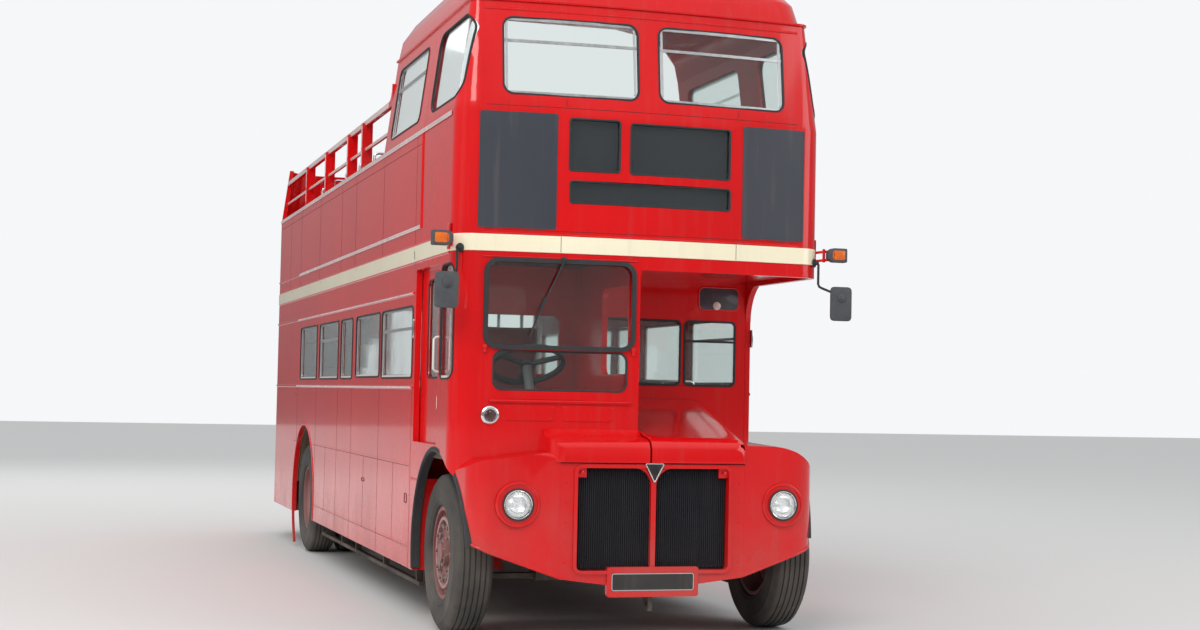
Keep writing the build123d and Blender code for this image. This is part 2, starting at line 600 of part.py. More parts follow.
# Front wings: shoulder radius, heights over the wheel and beside the grille, rise to the bulkhead,
# plan corner and its radius, where the flank starts, and the roll over the front edge
WINGS = {
    -1: {"word": "offside", "shoulder_r": 200, "top_z": 1115, "inner_z": 1171, "rise": 0,
         "corner": (1134, AXLE_FRONT_Y - 703), "corner_r": 154, "flank_y": AXLE_FRONT_Y - 120, "roll_r": 60},
    1: {"word": "nearside", "shoulder_r": 436, "top_z": 1213, "inner_z": 1217, "rise": 45,
        "corner": (1066, AXLE_FRONT_Y - 715), "corner_r": 195, "flank_y": AXLE_FRONT_Y - 200, "roll_r": 90},
}
FLANK_R = 600
WING_LOW_EDGE = [(GRILLE_PANEL_X, 402), (1025, 553), (HALF + 1, 640)]
WING_BACK_Y = BULKHEAD_Y - FIT
K45 = sin(radians(45))


def wing_form(side, grow=0):
    """A wing's outside, grown outwards by this much."""
    wing = WINGS[side]
    inner, outer = GRILLE_PANEL_X - grow, HALF + grow
    front_y, back_y = GRILLE_Y - grow, WING_BACK_Y + grow
    r = wing["shoulder_r"] + grow
    roll = wing["roll_r"] + grow
    inner_z = wing["inner_z"] + grow
    sections = []
    for y, rise in ((front_y, 0), (back_y, wing["rise"])):
        top = wing["top_z"] + grow + rise
        with BuildSketch(Plane.XZ.offset(-y)) as section:
            with BuildLine() as outline:
                Polyline((side * (outer - r), top), (side * inner, inner_z + rise),
                         (side * inner, SKIRT_Z - grow), (side * outer, SKIRT_Z - grow),
                         (side * outer, top - r))
                ThreePointArc((side * outer, top - r),
                              (side * (outer - r + K45 * r), top - r + K45 * r), (side * (outer - r), top))
            make_face(outline.edges())
        sections.append(section.sketch)
    corner = (side * (wing["corner"][0] + grow), wing["corner"][1] - grow)
    with BuildPart() as form:
        loft(sections, ruled=True)
        with BuildSketch(Plane.XY) as plan:
            with BuildLine() as edge:
                FilletPolyline((side * inner, front_y), corner, (side * outer, wing["flank_y"]),
                               (side * outer, back_y), radius=[wing["corner_r"] + grow, FLANK_R])
                Polyline((side * outer, back_y), (side * inner, back_y), (side * inner, front_y))
            make_face(edge.edges())
        extrude(plan.sketch, amount=HEIGHT, mode=Mode.INTERSECT)
        with BuildSketch(Plane.YZ.offset(side * (inner - 1))) as profile:
            with BuildLine() as roll_edge:
                Polyline((front_y + roll, inner_z), (back_y, inner_z + wing["rise"]), (back_y, 0),
                         (front_y, 0), (front_y, inner_z - roll))
                ThreePointArc((front_y, inner_z - roll),
                              (front_y + roll - K45 * roll, inner_z - roll + K45 * roll),
                              (front_y + roll, inner_z))
            make_face(roll_edge.edges())
        extrude(profile.sketch, amount=side * (outer - inner + 2), mode=Mode.INTERSECT)
    return form.part


# Bonnet over the engine, hinged along its cab side on a line that rises from the lip to the bulkhead
BONNET_LOW_Z = 1105
BONNET_SKIN = 35
BONNET_SWEEP = 8
LIP_KEEP_X = 565
# Place along the bus, kerbside edge, crown height, shoulder radius
BONNET_SECTIONS = [
    (BONNET_LIP_Y, 585, 1190, 60),
    (BONNET_LIP_Y + 18, 606, 1228, 62),
    (BONNET_LIP_Y + 60, 618, hinge_z(BONNET_LIP_Y + 60), 70),
    (BONNET_BACK_Y, 925, HINGE_BACK_Z, 180),
]


def bonnet_form(skin, mode=Mode.ADD):
    """The bonnet's outside, or its inside when drawn in by its skin."""
    outlines = []
    for place_y, edge_x, crown_z, shoulder_r in BONNET_SECTIONS:
        left, right = BONNET_X + skin, edge_x - skin
        low, top = BONNET_LOW_Z - skin, crown_z - skin
        r = shoulder_r - skin / 2
        with BuildSketch(Plane.XZ.offset(-min(place_y + skin, BONNET_BACK_Y))) as outline:
            with BuildLine() as section:
                Polyline((right - r, top), (left, top), (left, low), (right, low), (right, top - r))
                ThreePointArc((right, top - r), (right - r + K45 * r, top - r + K45 * r), (right - r, top))
            make_face(section.edges())
        outlines.append(outline.sketch)
    loft(outlines, ruled=True, mode=mode)


with BuildPart() as bonnet:
    bonnet_form(0)
    bonnet_form(BONNET_SKIN, Mode.SUBTRACT)
    add(wing_form(1, BONNET_SWEEP), mode=Mode.SUBTRACT)
    wing_top_z = WINGS[1]["inner_z"] + BONNET_SWEEP
    block(LIP_KEEP_X, GRILLE_PANEL_X, GRILLE_Y - BONNET_SWEEP, BONNET_BACK_Y, 0, wing_top_z, Mode.SUBTRACT)
    with BuildSketch(Plane.YZ.offset(BONNET_X - 1)) as under_bonnet:
        with BuildLine() as under_edge:
            Polyline((BONNET_LIP_Y + BONNET_SKIN, 0), (BONNET_LIP_Y + BONNET_SKIN, wing_top_z),
                     (BONNET_BACK_Y + 1, wing_top_z + WINGS[1]["rise"]), (BONNET_BACK_Y + 1, 0), close=True)
        make_face(under_edge.edges())
    extrude(under_bonnet.sketch, amount=GRILLE_PANEL_X + 1 - BONNET_X, mode=Mode.SUBTRACT)
    hinge_pin(HINGE_R)
bonnet.part.label = "bonnet"
export_step(bonnet.part, "parts/bonnet.step")

# The fixed end of the bonnet across the front of the cab, with a shelf that rises to the cab's skin
END_LEFT_X = -655
END_RIGHT_X = BONNET_X - HINGE_R - SWING_GAP
END_CORNER_R = 80
END_SHELF_Z = 1300
with BuildPart() as bonnet_end:
    with BuildSketch(Plane.YZ.offset(END_LEFT_X)) as end_profile:
        with BuildLine() as end_edge:
            Polyline((BODY_FRONT_Y + 200, BONNET_LOW_Z), (BONNET_LIP_Y, BONNET_LOW_Z), (BONNET_LIP_Y, 1190),
                     (BONNET_LIP_Y + 18, 1225), (BONNET_LIP_Y + 60, 1245), (BODY_FRONT_Y - 50, 1262),
                     (BODY_FRONT_Y, END_SHELF_Z), (BODY_FRONT_Y + 200, END_SHELF_Z), close=True)
        make_face(end_edge.edges())
    extrude(end_profile.sketch, amount=END_RIGHT_X - END_LEFT_X)
    with BuildSketch(Plane.XY) as end_plan:
        with BuildLine() as end_plan_edge:
            FilletPolyline((END_LEFT_X, BODY_FRONT_Y + 200), (END_LEFT_X, BONNET_LIP_Y),
                           (END_RIGHT_X, BONNET_LIP_Y), radius=END_CORNER_R)
            Polyline((END_RIGHT_X, BONNET_LIP_Y), (END_RIGHT_X, BODY_FRONT_Y + 200),
                     (END_LEFT_X, BODY_FRONT_Y + 200))
        make_face(end_plan_edge.edges())
    extrude(end_plan.sketch, amount=HEIGHT, mode=Mode.INTERSECT)
    plan_block(0, 0, HEIGHT, Mode.SUBTRACT)
bonnet_end.part.label = "bonnet_end"
export_step(bonnet_end.part, "parts/bonnet_end.step")

# The two wings, with round lamp pods, hollow round the wheels
LAMP_X = 856
LAMP_Z = 849
LAMP_R = 92
POD_R = 128
POD_FACE_Y = GRILLE_Y + 2
LAMP_SEAT_Y = GRILLE_Y + 70
wing_parts = {}
for side in (-1, 1):
    with BuildPart() as front_wing:
        add(wing_form(side))
        rod((side * LAMP_X, POD_FACE_Y, LAMP_Z), (side * LAMP_X, LAMP_SEAT_Y + WALL, LAMP_Z), POD_R)
        with BuildSketch(Plane.XZ.offset(-(GRILLE_Y - 1))) as under_wing:
            with BuildLine() as low_edge:
                Polyline(*[(side * x, z) for x, z in WING_LOW_EDGE], (side * (HALF + 1), 0),
                         (side * (GRILLE_PANEL_X - 1), 0), (side * (GRILLE_PANEL_X - 1), WING_LOW_EDGE[0][1]),
                         close=True)
            make_face(low_edge.edges())
        extrude(under_wing.sketch, amount=-(AXLE_FRONT_Y - GRILLE_Y + 1), mode=Mode.SUBTRACT)
        wheel_hole(side, AXLE_FRONT_Y, ARCH_R, GRILLE_PANEL_X)
        rod((side * LAMP_X, GRILLE_Y - WALL, LAMP_Z), (side * LAMP_X, LAMP_SEAT_Y, LAMP_Z),
            LAMP_R + FIT, Mode.SUBTRACT)
        if side < 0:
            plan_block(0, CAB_SKIN_Z, HEIGHT, Mode.SUBTRACT)
            add(bonnet_end.part, mode=Mode.SUBTRACT)
    front_wing.part.label = "front_wing_" + WINGS[side]["word"]
    export_step(front_wing.part, "parts/" + front_wing.part.label + ".step")
    wing_parts[side] = front_wing.part

# Rubber trims round the front arches, out to the full width where the wings draw in
TRIM_INNER_R = ARCH_R - 12
TRIM_OUTER_R = ARCH_R + 14
TRIM_INNER_X = 1090
TRIM_FRONT_Z = 600
with BuildPart() as under_cab:
    plan_block(WALL, CAB_SKIN_Z, BAND_LOW_Z)
    deck_length(-1, BODY_FRONT_Y, BULKHEAD_Y)
with BuildPart() as arch_trims:
    for side in (-1, 1):
        wheel_hole(side, AXLE_FRONT_Y, TRIM_OUTER_R, TRIM_INNER_X, Mode.ADD, BAND_PROUD)
        wheel_hole(side, AXLE_FRONT_Y, TRIM_INNER_R, TRIM_INNER_X)
    block(-REACH_X, REACH_X, GRILLE_Y, AXLE_FRONT_Y, -TYRE_R, TRIM_FRONT_Z, Mode.SUBTRACT)
    block(-REACH_X, REACH_X, AXLE_FRONT_Y, BULKHEAD_Y, -TYRE_R, SKIRT_Z, Mode.SUBTRACT)
    add(wing_parts[-1], mode=Mode.SUBTRACT)
    add(wing_parts[1], mode=Mode.SUBTRACT)
    add(cab_shell.part, mode=Mode.SUBTRACT)
    add(under_cab.part, mode=Mode.SUBTRACT)
arch_trims.part.label = "arch_trims"
export_step(arch_trims.part, "parts/arch_trims.step")

# Grille panel: two openings with large upper inner corners leave a flared divider between them,
# inside a raised bead, with a box below for the number plate
GRILLE_HALF = 488
GRILLE_LOW_Z = 452
GRILLE_TOP_Z = 1072
DIVIDER_HALF = 16
DIVIDER_FLARE_R = 110
GRILLE_CORNER_R = 30
PANEL_DEEP = 60
FACE_DEEP = 30
BEAD = 22
BEAD_PROUD = 14
TAB = (60, 58)
PLATE = (530, 107)
PLATE_Z = 382
PLATE_BOX = (588, 182)
PLATE_BOX_PROUD = 18
PLATE_RECESS = 6
with BuildPart() as grille_panel:
    with BuildSketch(Plane.XZ.offset(-GRILLE_Y)) as panel_face:
        with BuildLine() as panel_edge:
            edge_x = GRILLE_PANEL_X - FIT
            Polyline((-edge_x, 402), (-300, 365), (300, 365), (edge_x, 402), (edge_x, 1099), (-edge_x, 1099),
                     close=True)
        make_face(panel_edge.edges())
    extrude(panel_face.sketch, amount=-PANEL_DEEP)
    with BuildSketch(Plane.XZ.offset(-GRILLE_Y)) as halves:
        for side in (-1, 1):
            with BuildLine() as half_edge:
                FilletPolyline((side * DIVIDER_HALF, GRILLE_LOW_Z), (side * GRILLE_HALF, GRILLE_LOW_Z),
                               (side * GRILLE_HALF, GRILLE_TOP_Z), (side * DIVIDER_HALF, GRILLE_TOP_Z),
                               radius=[DIVIDER_HALF, GRILLE_CORNER_R, GRILLE_CORNER_R, DIVIDER_FLARE_R],
                               close=True)
            make_face(half_edge.edges())
    extrude(halves.sketch, amount=-FACE_DEEP, mode=Mode.SUBTRACT)
    block(-GRILLE_HALF, GRILLE_HALF, GRILLE_Y + FACE_DEEP, GRILLE_Y + PANEL_DEEP,
          GRILLE_LOW_Z, GRILLE_TOP_Z, Mode.SUBTRACT)
    with BuildSketch(Plane.XZ.offset(-GRILLE_Y)) as bead:
        with Locations((0, (GRILLE_LOW_Z + GRILLE_TOP_Z) / 2)):
            RectangleRounded(2 * (GRILLE_HALF + BEAD), GRILLE_TOP_Z - GRILLE_LOW_Z + 2 * BEAD,
                             GRILLE_CORNER_R + BEAD)
            RectangleRounded(2 * GRILLE_HALF, GRILLE_TOP_Z - GRILLE_LOW_Z, GRILLE_CORNER_R,
                             mode=Mode.SUBTRACT)
    extrude(bead.sketch, amount=BEAD_PROUD)
    for side in (-1, 1):
        block(side * (GRILLE_HALF - TAB[0]), side * (GRILLE_HALF + 1), GRILLE_Y + 10, GRILLE_Y + FACE_DEEP,
              GRILLE_TOP_Z - TAB[1], GRILLE_TOP_Z + 1)
    with BuildSketch(Plane.XZ.offset(-(GRILLE_Y + 20))) as plate_box:
        with Locations((0, PLATE_Z)):
            RectangleRounded(*PLATE_BOX, 16)
    extrude(plate_box.sketch, amount=20 + PLATE_BOX_PROUD)
    recess_y = GRILLE_Y - PLATE_BOX_PROUD + PLATE_RECESS
    block(-PLATE[0] / 2 - FIT, PLATE[0] / 2 + FIT, recess_y - WALL, recess_y,
          PLATE_Z - PLATE[1] / 2 - FIT, PLATE_Z + PLATE[1] / 2 + FIT, Mode.SUBTRACT)
grille_panel.part.label = "grille_panel"
export_step(grille_panel.part, "parts/grille_panel.step")

SLATS = 26
SLAT = 10
MESH_Y = (GRILLE_Y + FACE_DEEP + FIT, GRILLE_Y + FACE_DEEP + 18)
with BuildPart() as grille_mesh:
    pitch = (GRILLE_TOP_Z - GRILLE_LOW_Z - 2 * SLAT) / SLATS
    for i in range(SLATS):
        z = GRILLE_LOW_Z + SLAT + (i + 0.5) * pitch
        block(-GRILLE_HALF + SLAT, GRILLE_HALF - SLAT, *MESH_Y, z - SLAT / 2, z + SLAT / 2)
    for share in (-0.9, -0.45, 0, 0.45, 0.9):
        block(share * GRILLE_HALF - 4, share * GRILLE_HALF + 4, *MESH_Y,
              GRILLE_LOW_Z + 2 * SLAT, GRILLE_TOP_Z - 2 * SLAT)
    middle_z = (GRILLE_LOW_Z + GRILLE_TOP_Z) / 2
    block(-GRILLE_HALF + FIT, GRILLE_HALF - FIT, *MESH_Y, middle_z - SLAT, middle_z + SLAT)
grille_mesh.part.label = "grille_mesh"
export_step(grille_mesh.part, "parts/grille_mesh.step")

with BuildPart() as number_plate:
    block(-PLATE[0] / 2, PLATE[0] / 2, recess_y - FIT - 5, recess_y - FIT,
          PLATE_Z - PLATE[1] / 2, PLATE_Z + PLATE[1] / 2)
number_plate.part.label = "number_plate"
export_step(number_plate.part, "parts/number_plate.step")

# Headlamps in their round seats, with a rim and a domed lens, and the small lamp in the cab's corner
LENS_R = 80
RIM_FACE_Y = GRILLE_Y - 14
LENS_RISE = 10
LENS_BALL_R = (LENS_R ** 2 + LENS_RISE ** 2) / (2 * LENS_RISE)
corner_skin_y = BODY_FRONT_Y + NOSE_SAG * (CORNER_LAMP[0] / (HALF - FRONT_CORNER_R)) ** 2
with BuildPart() as headlamps:
    for side in (-1, 1):
        x = side * LAMP_X
        back_y, lens_y = LAMP_SEAT_Y - FIT, RIM_FACE_Y + 8
        with BuildSketch(Plane.XY.offset(LAMP_Z)) as lamp_profile:
            with BuildLine():
                Polyline((x, back_y), (x + LAMP_R, back_y), (x + LAMP_R, RIM_FACE_Y + 6),
                         (x + LAMP_R - 6, RIM_FACE_Y), (x + LENS_R, RIM_FACE_Y), (x + LENS_R, lens_y))
                RadiusArc((x + LENS_R, lens_y), (x, lens_y - LENS_RISE), LENS_BALL_R)
                Line((x, lens_y - LENS_RISE), (x, back_y))
            make_face()
        revolve(axis=Axis((x, 0, LAMP_Z), (0, 1, 0)))
    rod((CORNER_LAMP[0], corner_skin_y + WALL, CORNER_LAMP[1]),
        (CORNER_LAMP[0], corner_skin_y - 14, CORNER_LAMP[1]), CORNER_LAMP_R)
headlamps.part.label = "headlamps"
export_step(headlamps.part, "parts/headlamps.step")

# Direction indicators on brackets at the front corners, the widest points of the bus
INDICATOR = (1295, BODY_FRONT_Y + 30, 2450)
FLANK_Y = BODY_FRONT_Y + NOSE_SAG + FRONT_CORNER_R
with BuildPart() as indicators:
    for side in (-1, 1):
        x, y, z = INDICATOR
        block(side * (x - 80), side * (x + 80), y - 30, y + 30, z - 48, z + 48)
        block(side * (HALF + BAND_PROUD + FIT), side * (x - 30), y + 30, FLANK_Y + 50, z - 20, z + 20)
indicators.part.label = "indicators"
export_step(indicators.part, "parts/indicators.step")

# Mirrors on bent arms from the corners of the band
MIRROR = (1294, BODY_FRONT_Y - 73, 2130)
ARM_R = 9
with BuildPart() as mirrors:
    for side in (-1, 1):
        x, y, z = MIRROR
        corner_x, corner_y = HALF - FRONT_CORNER_R, FLANK_Y
        root, knee = FRONT_CORNER_R + BAND_PROUD + FIT, FRONT_CORNER_R + BAND_PROUD + 34
        root_at = (side * (corner_x + K45 * root), corner_y - K45 * root, BAND_LOW_Z + 15)
        knee_at = (side * (corner_x + K45 * knee), corner_y - K45 * knee, BAND_LOW_Z + 15)
        drop_at = (knee_at[0], knee_at[1], z + 110)
        block(side * (x - 75), side * (x + 75), y - 15, y + 15, z - 110, z + 110)
        rod(root_at, knee_at, ARM_R)
        with Locations(knee_at, drop_at):
            Sphere(ARM_R + 3)
        rod(knee_at, drop_at, ARM_R)
        rod(drop_at, (side * x, y + 10, z + 40), ARM_R)
mirrors.part.label = "mirrors"
export_step(mirrors.part, "parts/mirrors.step")

# Engine and radiator as one plain mass
with BuildPart() as engine:
    block(-380, 380, AXLE_FRONT_Y - 560, BULKHEAD_Y - 60, 480, 1060)
engine.part.label = "engine"
export_step(engine.part, "parts/engine.step")

# Front subframe with arms out to the kingpins and a towing plate under the grille
TOW_Y = AXLE_FRONT_Y - 672
TOW_Z = 255
TOW_R = 25
TOW_THICK = 24
with BuildPart() as front_subframe:
    block(-560, 560, AXLE_FRONT_Y - 90, AXLE_FRONT_Y + 90, 330, 470)
    for side in (-1, 1):
        for z in (340, 640):
            block(side * 540, side * (KINGPIN_X + 45), AXLE_FRONT_Y - 45, AXLE_FRONT_Y + 45, z, z + 30)
        block(side * 500, side * 560, AXLE_FRONT_Y - 90, AXLE_FRONT_Y + 90, 330, 700)
    for side in (-1, 1):
        block(side * 390, side * 470, BODY_FRONT_Y - 100, BULKHEAD_Y + 400, 470, 560)
    block(-470, 470, BODY_FRONT_Y - 100, BODY_FRONT_Y - 40, 470, 560)
    with BuildSketch(Plane.YZ.offset(-TOW_THICK / 2)) as tow_plate:
        with BuildLine() as tow_edge:
            Polyline((TOW_Y - 40, TOW_Z - 55), (TOW_Y + 45, TOW_Z - 55), (BODY_FRONT_Y - 40, 330),
                     (BODY_FRONT_Y - 40, 471), (BODY_FRONT_Y - 100, 471), (BODY_FRONT_Y - 100, 340),
                     (TOW_Y - 40, TOW_Z + 40), close=True)
        make_face(tow_edge.edges())
        with Locations((TOW_Y, TOW_Z)):
            Circle(TOW_R, mode=Mode.SUBTRACT)
    extrude(tow_plate.sketch, amount=TOW_THICK)
front_subframe.part.label = "front_subframe"
export_step(front_subframe.part, "parts/front_subframe.step")

for side, word in ((-1, "offside"), (1, "nearside")):
    # Kingpin and stub axle
    with BuildPart() as knuckle:
        rod((side * KINGPIN_X, AXLE_FRONT_Y, 370 + FIT), (side * KINGPIN_X, AXLE_FRONT_Y, 640 - FIT), 32)
        rod((side * KINGPIN_X, AXLE_FRONT_Y, TYRE_R), (side * 1140, AXLE_FRONT_Y, TYRE_R), STUB_R)
    knuckle.part.label = "knuckle_" + word
    export_step(knuckle.part, "parts/knuckle_" + word + ".step")


TYRE_SIDES = 40
BEAD_R = RIM_R / cos(radians(180 / TYRE_SIDES))
# Across the tyre from its middle, and radius: the outside, then the bore with its bead seats
TYRE_OUTSIDE = [(-125, TYRE_R - 60), (-90, TYRE_R - 8), (0, TYRE_R), (90, TYRE_R - 8), (125, TYRE_R - 60)]
TYRE_BORE = [(-125, RIM_R + 60), (-95, BEAD_R), (95, BEAD_R), (125, RIM_R + 60)]


def ring_loft(x, y, rows, mode=Mode.ADD):
    """A many-sided body of revolution about a wheel's axle line, with a corner on the ground."""
    rings = []
    for across, radius in rows:
        with BuildSketch(Plane.YZ.offset(x + across)) as ring:
            with Locations((y, TYRE_R)):
                RegularPolygon(radius, TYRE_SIDES)
        rings.append(ring.sketch)
    loft(rings, ruled=True, mode=mode)


def tyre(x, y):
    """A tyre this far from the bus's middle."""
    ring_loft(x, y, TYRE_OUTSIDE)
    ring_loft(x, y, TYRE_BORE, Mode.SUBTRACT)


def wheel_plane(y):
    """The plane through a wheel's axle line, with the axle along its own X."""
    return Plane(origin=(0, y, TYRE_R), x_dir=(1, 0, 0), z_dir=(0, -1, 0))


def turned(side, x0, x1, r0, r1):
    """The section of a ring turned about the axle: distances from the bus's middle, and radii."""
    Polygon((side * x0, r0), (side * x1, r0), (side * x1, r1), (side * x0, r1), align=None)


def rim_and_disc(side, track_x, disc_x, bore_r):
    """The section of a rim and of the flat disc in it."""
    turned(side, track_x - RIM_HALF, track_x + RIM_HALF, RIM_R - 24, RIM_R - FIT)
    turned(side, disc_x - 8, disc_x + 8, bore_r, RIM_R - 20)


def bolt_ring(side, y, face_x, ring_r, count, radius, length, mode=Mode.ADD):
    """Studs out from a disc's face, or holes through it."""
    with BuildSketch(Plane.YZ.offset(side * face_x)) as bolts:
        with Locations((y, TYRE_R)):
            with PolarLocations(ring_r, count):
                Circle(radius)
    extrude(bolts.sketch, amount=side * length, mode=mode)


RIM_HALF = TYRE_WIDTH / 2 - 28
FRONT_DISC_X = 1110
REAR_DISC_X = 960
STUDS = 10
for side, word in ((-1, "offside"), (1, "nearside")):
    with BuildPart() as front_tyre:
        tyre(side * FRONT_TRACK_X, AXLE_FRONT_Y)
    front_tyre.part.label = "front_tyre_" + word
    export_step(front_tyre.part, "parts/front_tyre_" + word + ".step")

    with BuildPart() as front_wheel:
        with BuildSketch(wheel_plane(AXLE_FRONT_Y)):
            rim_and_disc(side, FRONT_TRACK_X, FRONT_DISC_X, STUB_R + FIT)
            turned(side, FRONT_DISC_X, 1150, STUB_R + FIT, 85)
            turned(side, 1150, 1165, 0, 60)
            turned(side, FRONT_DISC_X, 1140, 205, 225)
        revolve(axis=Axis((0, AXLE_FRONT_Y, TYRE_R), (1, 0, 0)))
        bolt_ring(side, AXLE_FRONT_Y, FRONT_DISC_X, 168, STUDS, 11, 48)
        bolt_ring(side, AXLE_FRONT_Y, FRONT_DISC_X - 20, 247, STUDS, 13, 40, Mode.SUBTRACT)
    front_wheel.part.label = "front_wheel_" + word
    export_step(front_wheel.part, "parts/front_wheel_" + word + ".step")

    with BuildPart() as rear_tyres:
        tyre(side * REAR_INNER_X, AXLE_REAR_Y)
        tyre(side * REAR_OUTER_X, AXLE_REAR_Y)
    rear_tyres.part.label = "rear_tyres_" + word
    export_step(rear_tyres.part, "parts/rear_tyres_" + word + ".step")

    # Twin wheels, the outer with a deep cone in to its disc
    with BuildPart() as rear_wheels:
        with BuildSketch(wheel_plane(AXLE_REAR_Y)):
            rim_and_disc(side, REAR_OUTER_X, REAR_DISC_X, AXLE_R + FIT)
            rim_and_disc(side, REAR_INNER_X, 880, AXLE_R + FIT)
            turned(side, 880, 1080, AXLE_R + FIT, HUB_R)
            turned(side, 1080, 1100, 0, 85)
            Polygon((side * 1152, RIM_R - 20), (side * 1138, RIM_R - 20), (side * 964, 190),
                    (side * 964, 206), align=None)
        revolve(axis=Axis((0, AXLE_REAR_Y, TYRE_R), (1, 0, 0)))
        bolt_ring(side, AXLE_REAR_Y, REAR_DISC_X, 150, STUDS, 11, 55)
    rear_wheels.part.label = "rear_wheels_" + word
    export_step(rear_wheels.part, "parts/rear_wheels_" + word + ".step")

# Rear axle with its differential, offset to the offside
SHAFT_X = -150
DIFF_R = 180
NOSE_Y = AXLE_REAR_Y - DIFF_R - 40
with BuildPart() as rear_axle:
    rod((-1070, AXLE_REAR_Y, TYRE_R), (1070, AXLE_REAR_Y, TYRE_R), AXLE_R)
    rod((-640, AXLE_REAR_Y, TYRE_R), (640, AXLE_REAR_Y, TYRE_R), AXLE_R + 20)
    with Locations((SHAFT_X, AXLE_REAR_Y, TYRE_R)):
        Sphere(DIFF_R)
    rod((SHAFT_X, AXLE_REAR_Y, TYRE_R), (SHAFT_X, NOSE_Y, TYRE_R), 70)
    block(-HALF, HALF, AXLE_REAR_Y - 300, AXLE_REAR_Y + 300, DECK_Z - FLOOR_THICK - FIT, HEIGHT,
          Mode.SUBTRACT)
rear_axle.part.label = "rear_axle"
export_step(rear_axle.part, "parts/rear_axle.step")

# Steering wheel, its column and the driver's seat
STEER_X = -620
STEER_Y = AXLE_FRONT_Y + 20
STEER_Z = 1700
STEER_TILT = 28
with BuildPart() as steering_wheel:
    steer_plane = Plane(origin=(STEER_X, STEER_Y, STEER_Z), x_dir=(1, 0, 0),
                        z_dir=(0, sin(radians(STEER_TILT)), cos(radians(STEER_TILT))))
    with BuildSketch(steer_plane.offset(-14)):
        Circle(250)
        Circle(222, mode=Mode.SUBTRACT)
        for angle in (90, 210, 330):
            with Locations((118 * cos(radians(angle)), 118 * sin(radians(angle)))):
                Rectangle(236, 24, rotation=angle)
        Circle(50)
    extrude(amount=28)
steering_wheel.part.label = "steering_wheel"
export_step(steering_wheel.part, "parts/steering_wheel.step")

with BuildPart() as steering_column:
    with BuildSketch(steer_plane.offset(-14 - FIT)):
        Circle(30)
    extrude(amount=-720)
    block(STEER_X - 400, STEER_X + 400, BODY_FRONT_Y - 1, BODY_FRONT_Y + 600, 0, CAB_FLOOR_Z + FIT,
          Mode.SUBTRACT)
steering_column.part.label = "steering_column"
export_step(steering_column.part, "parts/steering_column.step")

with BuildPart() as driver_seat:
    block(-860, -380, AXLE_FRONT_Y + 270, AXLE_FRONT_Y + 680, CAB_FLOOR_Z + 250, CAB_FLOOR_Z + 360)
    block(-860, -380, AXLE_FRONT_Y + 600, AXLE_FRONT_Y + 680, CAB_FLOOR_Z + 360, CAB_FLOOR_Z + 850)
    block(-780, -460, AXLE_FRONT_Y + 330, AXLE_FRONT_Y + 620, CAB_FLOOR_Z, CAB_FLOOR_Z + 250)
driver_seat.part.label = "driver_seat"
export_step(driver_seat.part, "parts/driver_seat.step")

# Passenger seats in pairs: the face of each row's back, from the front. The upper offside rows end
# at the stairs
SEAT_PITCH = 700
SEAT_DEPTH = 430
SEAT_BACK = 75
SEAT_INNER_X = 250
SEAT_OUTER_X = HALF - WALL - DOOR_POCKET
CUSHION_Z = 330
CUSHION_THICK = 100
SEAT_BACK_Z = 900
LEG_X = (420, 470)
LOWER_ROWS = [BULKHEAD_Y + 760 + i * SEAT_PITCH for i in range(6)]
UPPER_ROWS = [BODY_FRONT_Y + 900 + i * SEAT_PITCH for i in range(10)]
STAIR_ROWS = [y for y in UPPER_ROWS if y + SEAT_BACK < STAIR_WELL_Y[0]]
SEATING = [(-1, LOWER_ROWS, DECK_Z), (1, LOWER_ROWS, DECK_Z), (-1, STAIR_ROWS, UPPER_DECK_Z),
           (1, UPPER_ROWS, UPPER_DECK_Z)]


def seat_pair(side, back_y, floor_z):
    """A two-seat bench: the cushion and the squab behind it."""
    inner, outer = side * SEAT_INNER_X, side * SEAT_OUTER_X
    block(inner, outer, back_y - SEAT_DEPTH, back_y - FIT, floor_z + CUSHION_Z + FIT,
          floor_z + CUSHION_Z + CUSHION_THICK)
    block(inner, outer, back_y, back_y + SEAT_BACK, floor_z + CUSHION_Z + FIT, floor_z + SEAT_BACK_Z)


for floor_z, word in ((DECK_Z, "lower_seats"), (UPPER_DECK_Z, "upper_seats")):
    with BuildPart() as seats:
        for side, rows, deck_z in SEATING:
            for back_y in rows:
                if deck_z == floor_z:
                    seat_pair(side, back_y, floor_z)
        if floor_z == DECK_Z:
            for side in (-1, 1):
                block(side * 560, side * (HALF - WALL - 1), REAR_BULKHEAD_Y - 1100, REAR_BULKHEAD_Y - 20,
                      TYRE_R + REAR_ARCH_R + FIT, TYRE_R + REAR_ARCH_R + 80)
    seats.part.label = word
    export_step(seats.part, "parts/" + word + ".step")

# Legs of the paired seats, under the cushion and the squab
with BuildPart() as seat_frames:
    for side, rows, deck_z in SEATING:
        for back_y in rows:
            block(side * LEG_X[0], side * LEG_X[1], back_y - SEAT_DEPTH + 60, back_y + SEAT_BACK - 10,
                  deck_z, deck_z + CUSHION_Z)
seat_frames.part.label = "seat_frames"
export_step(seat_frames.part, "parts/seat_frames.step")

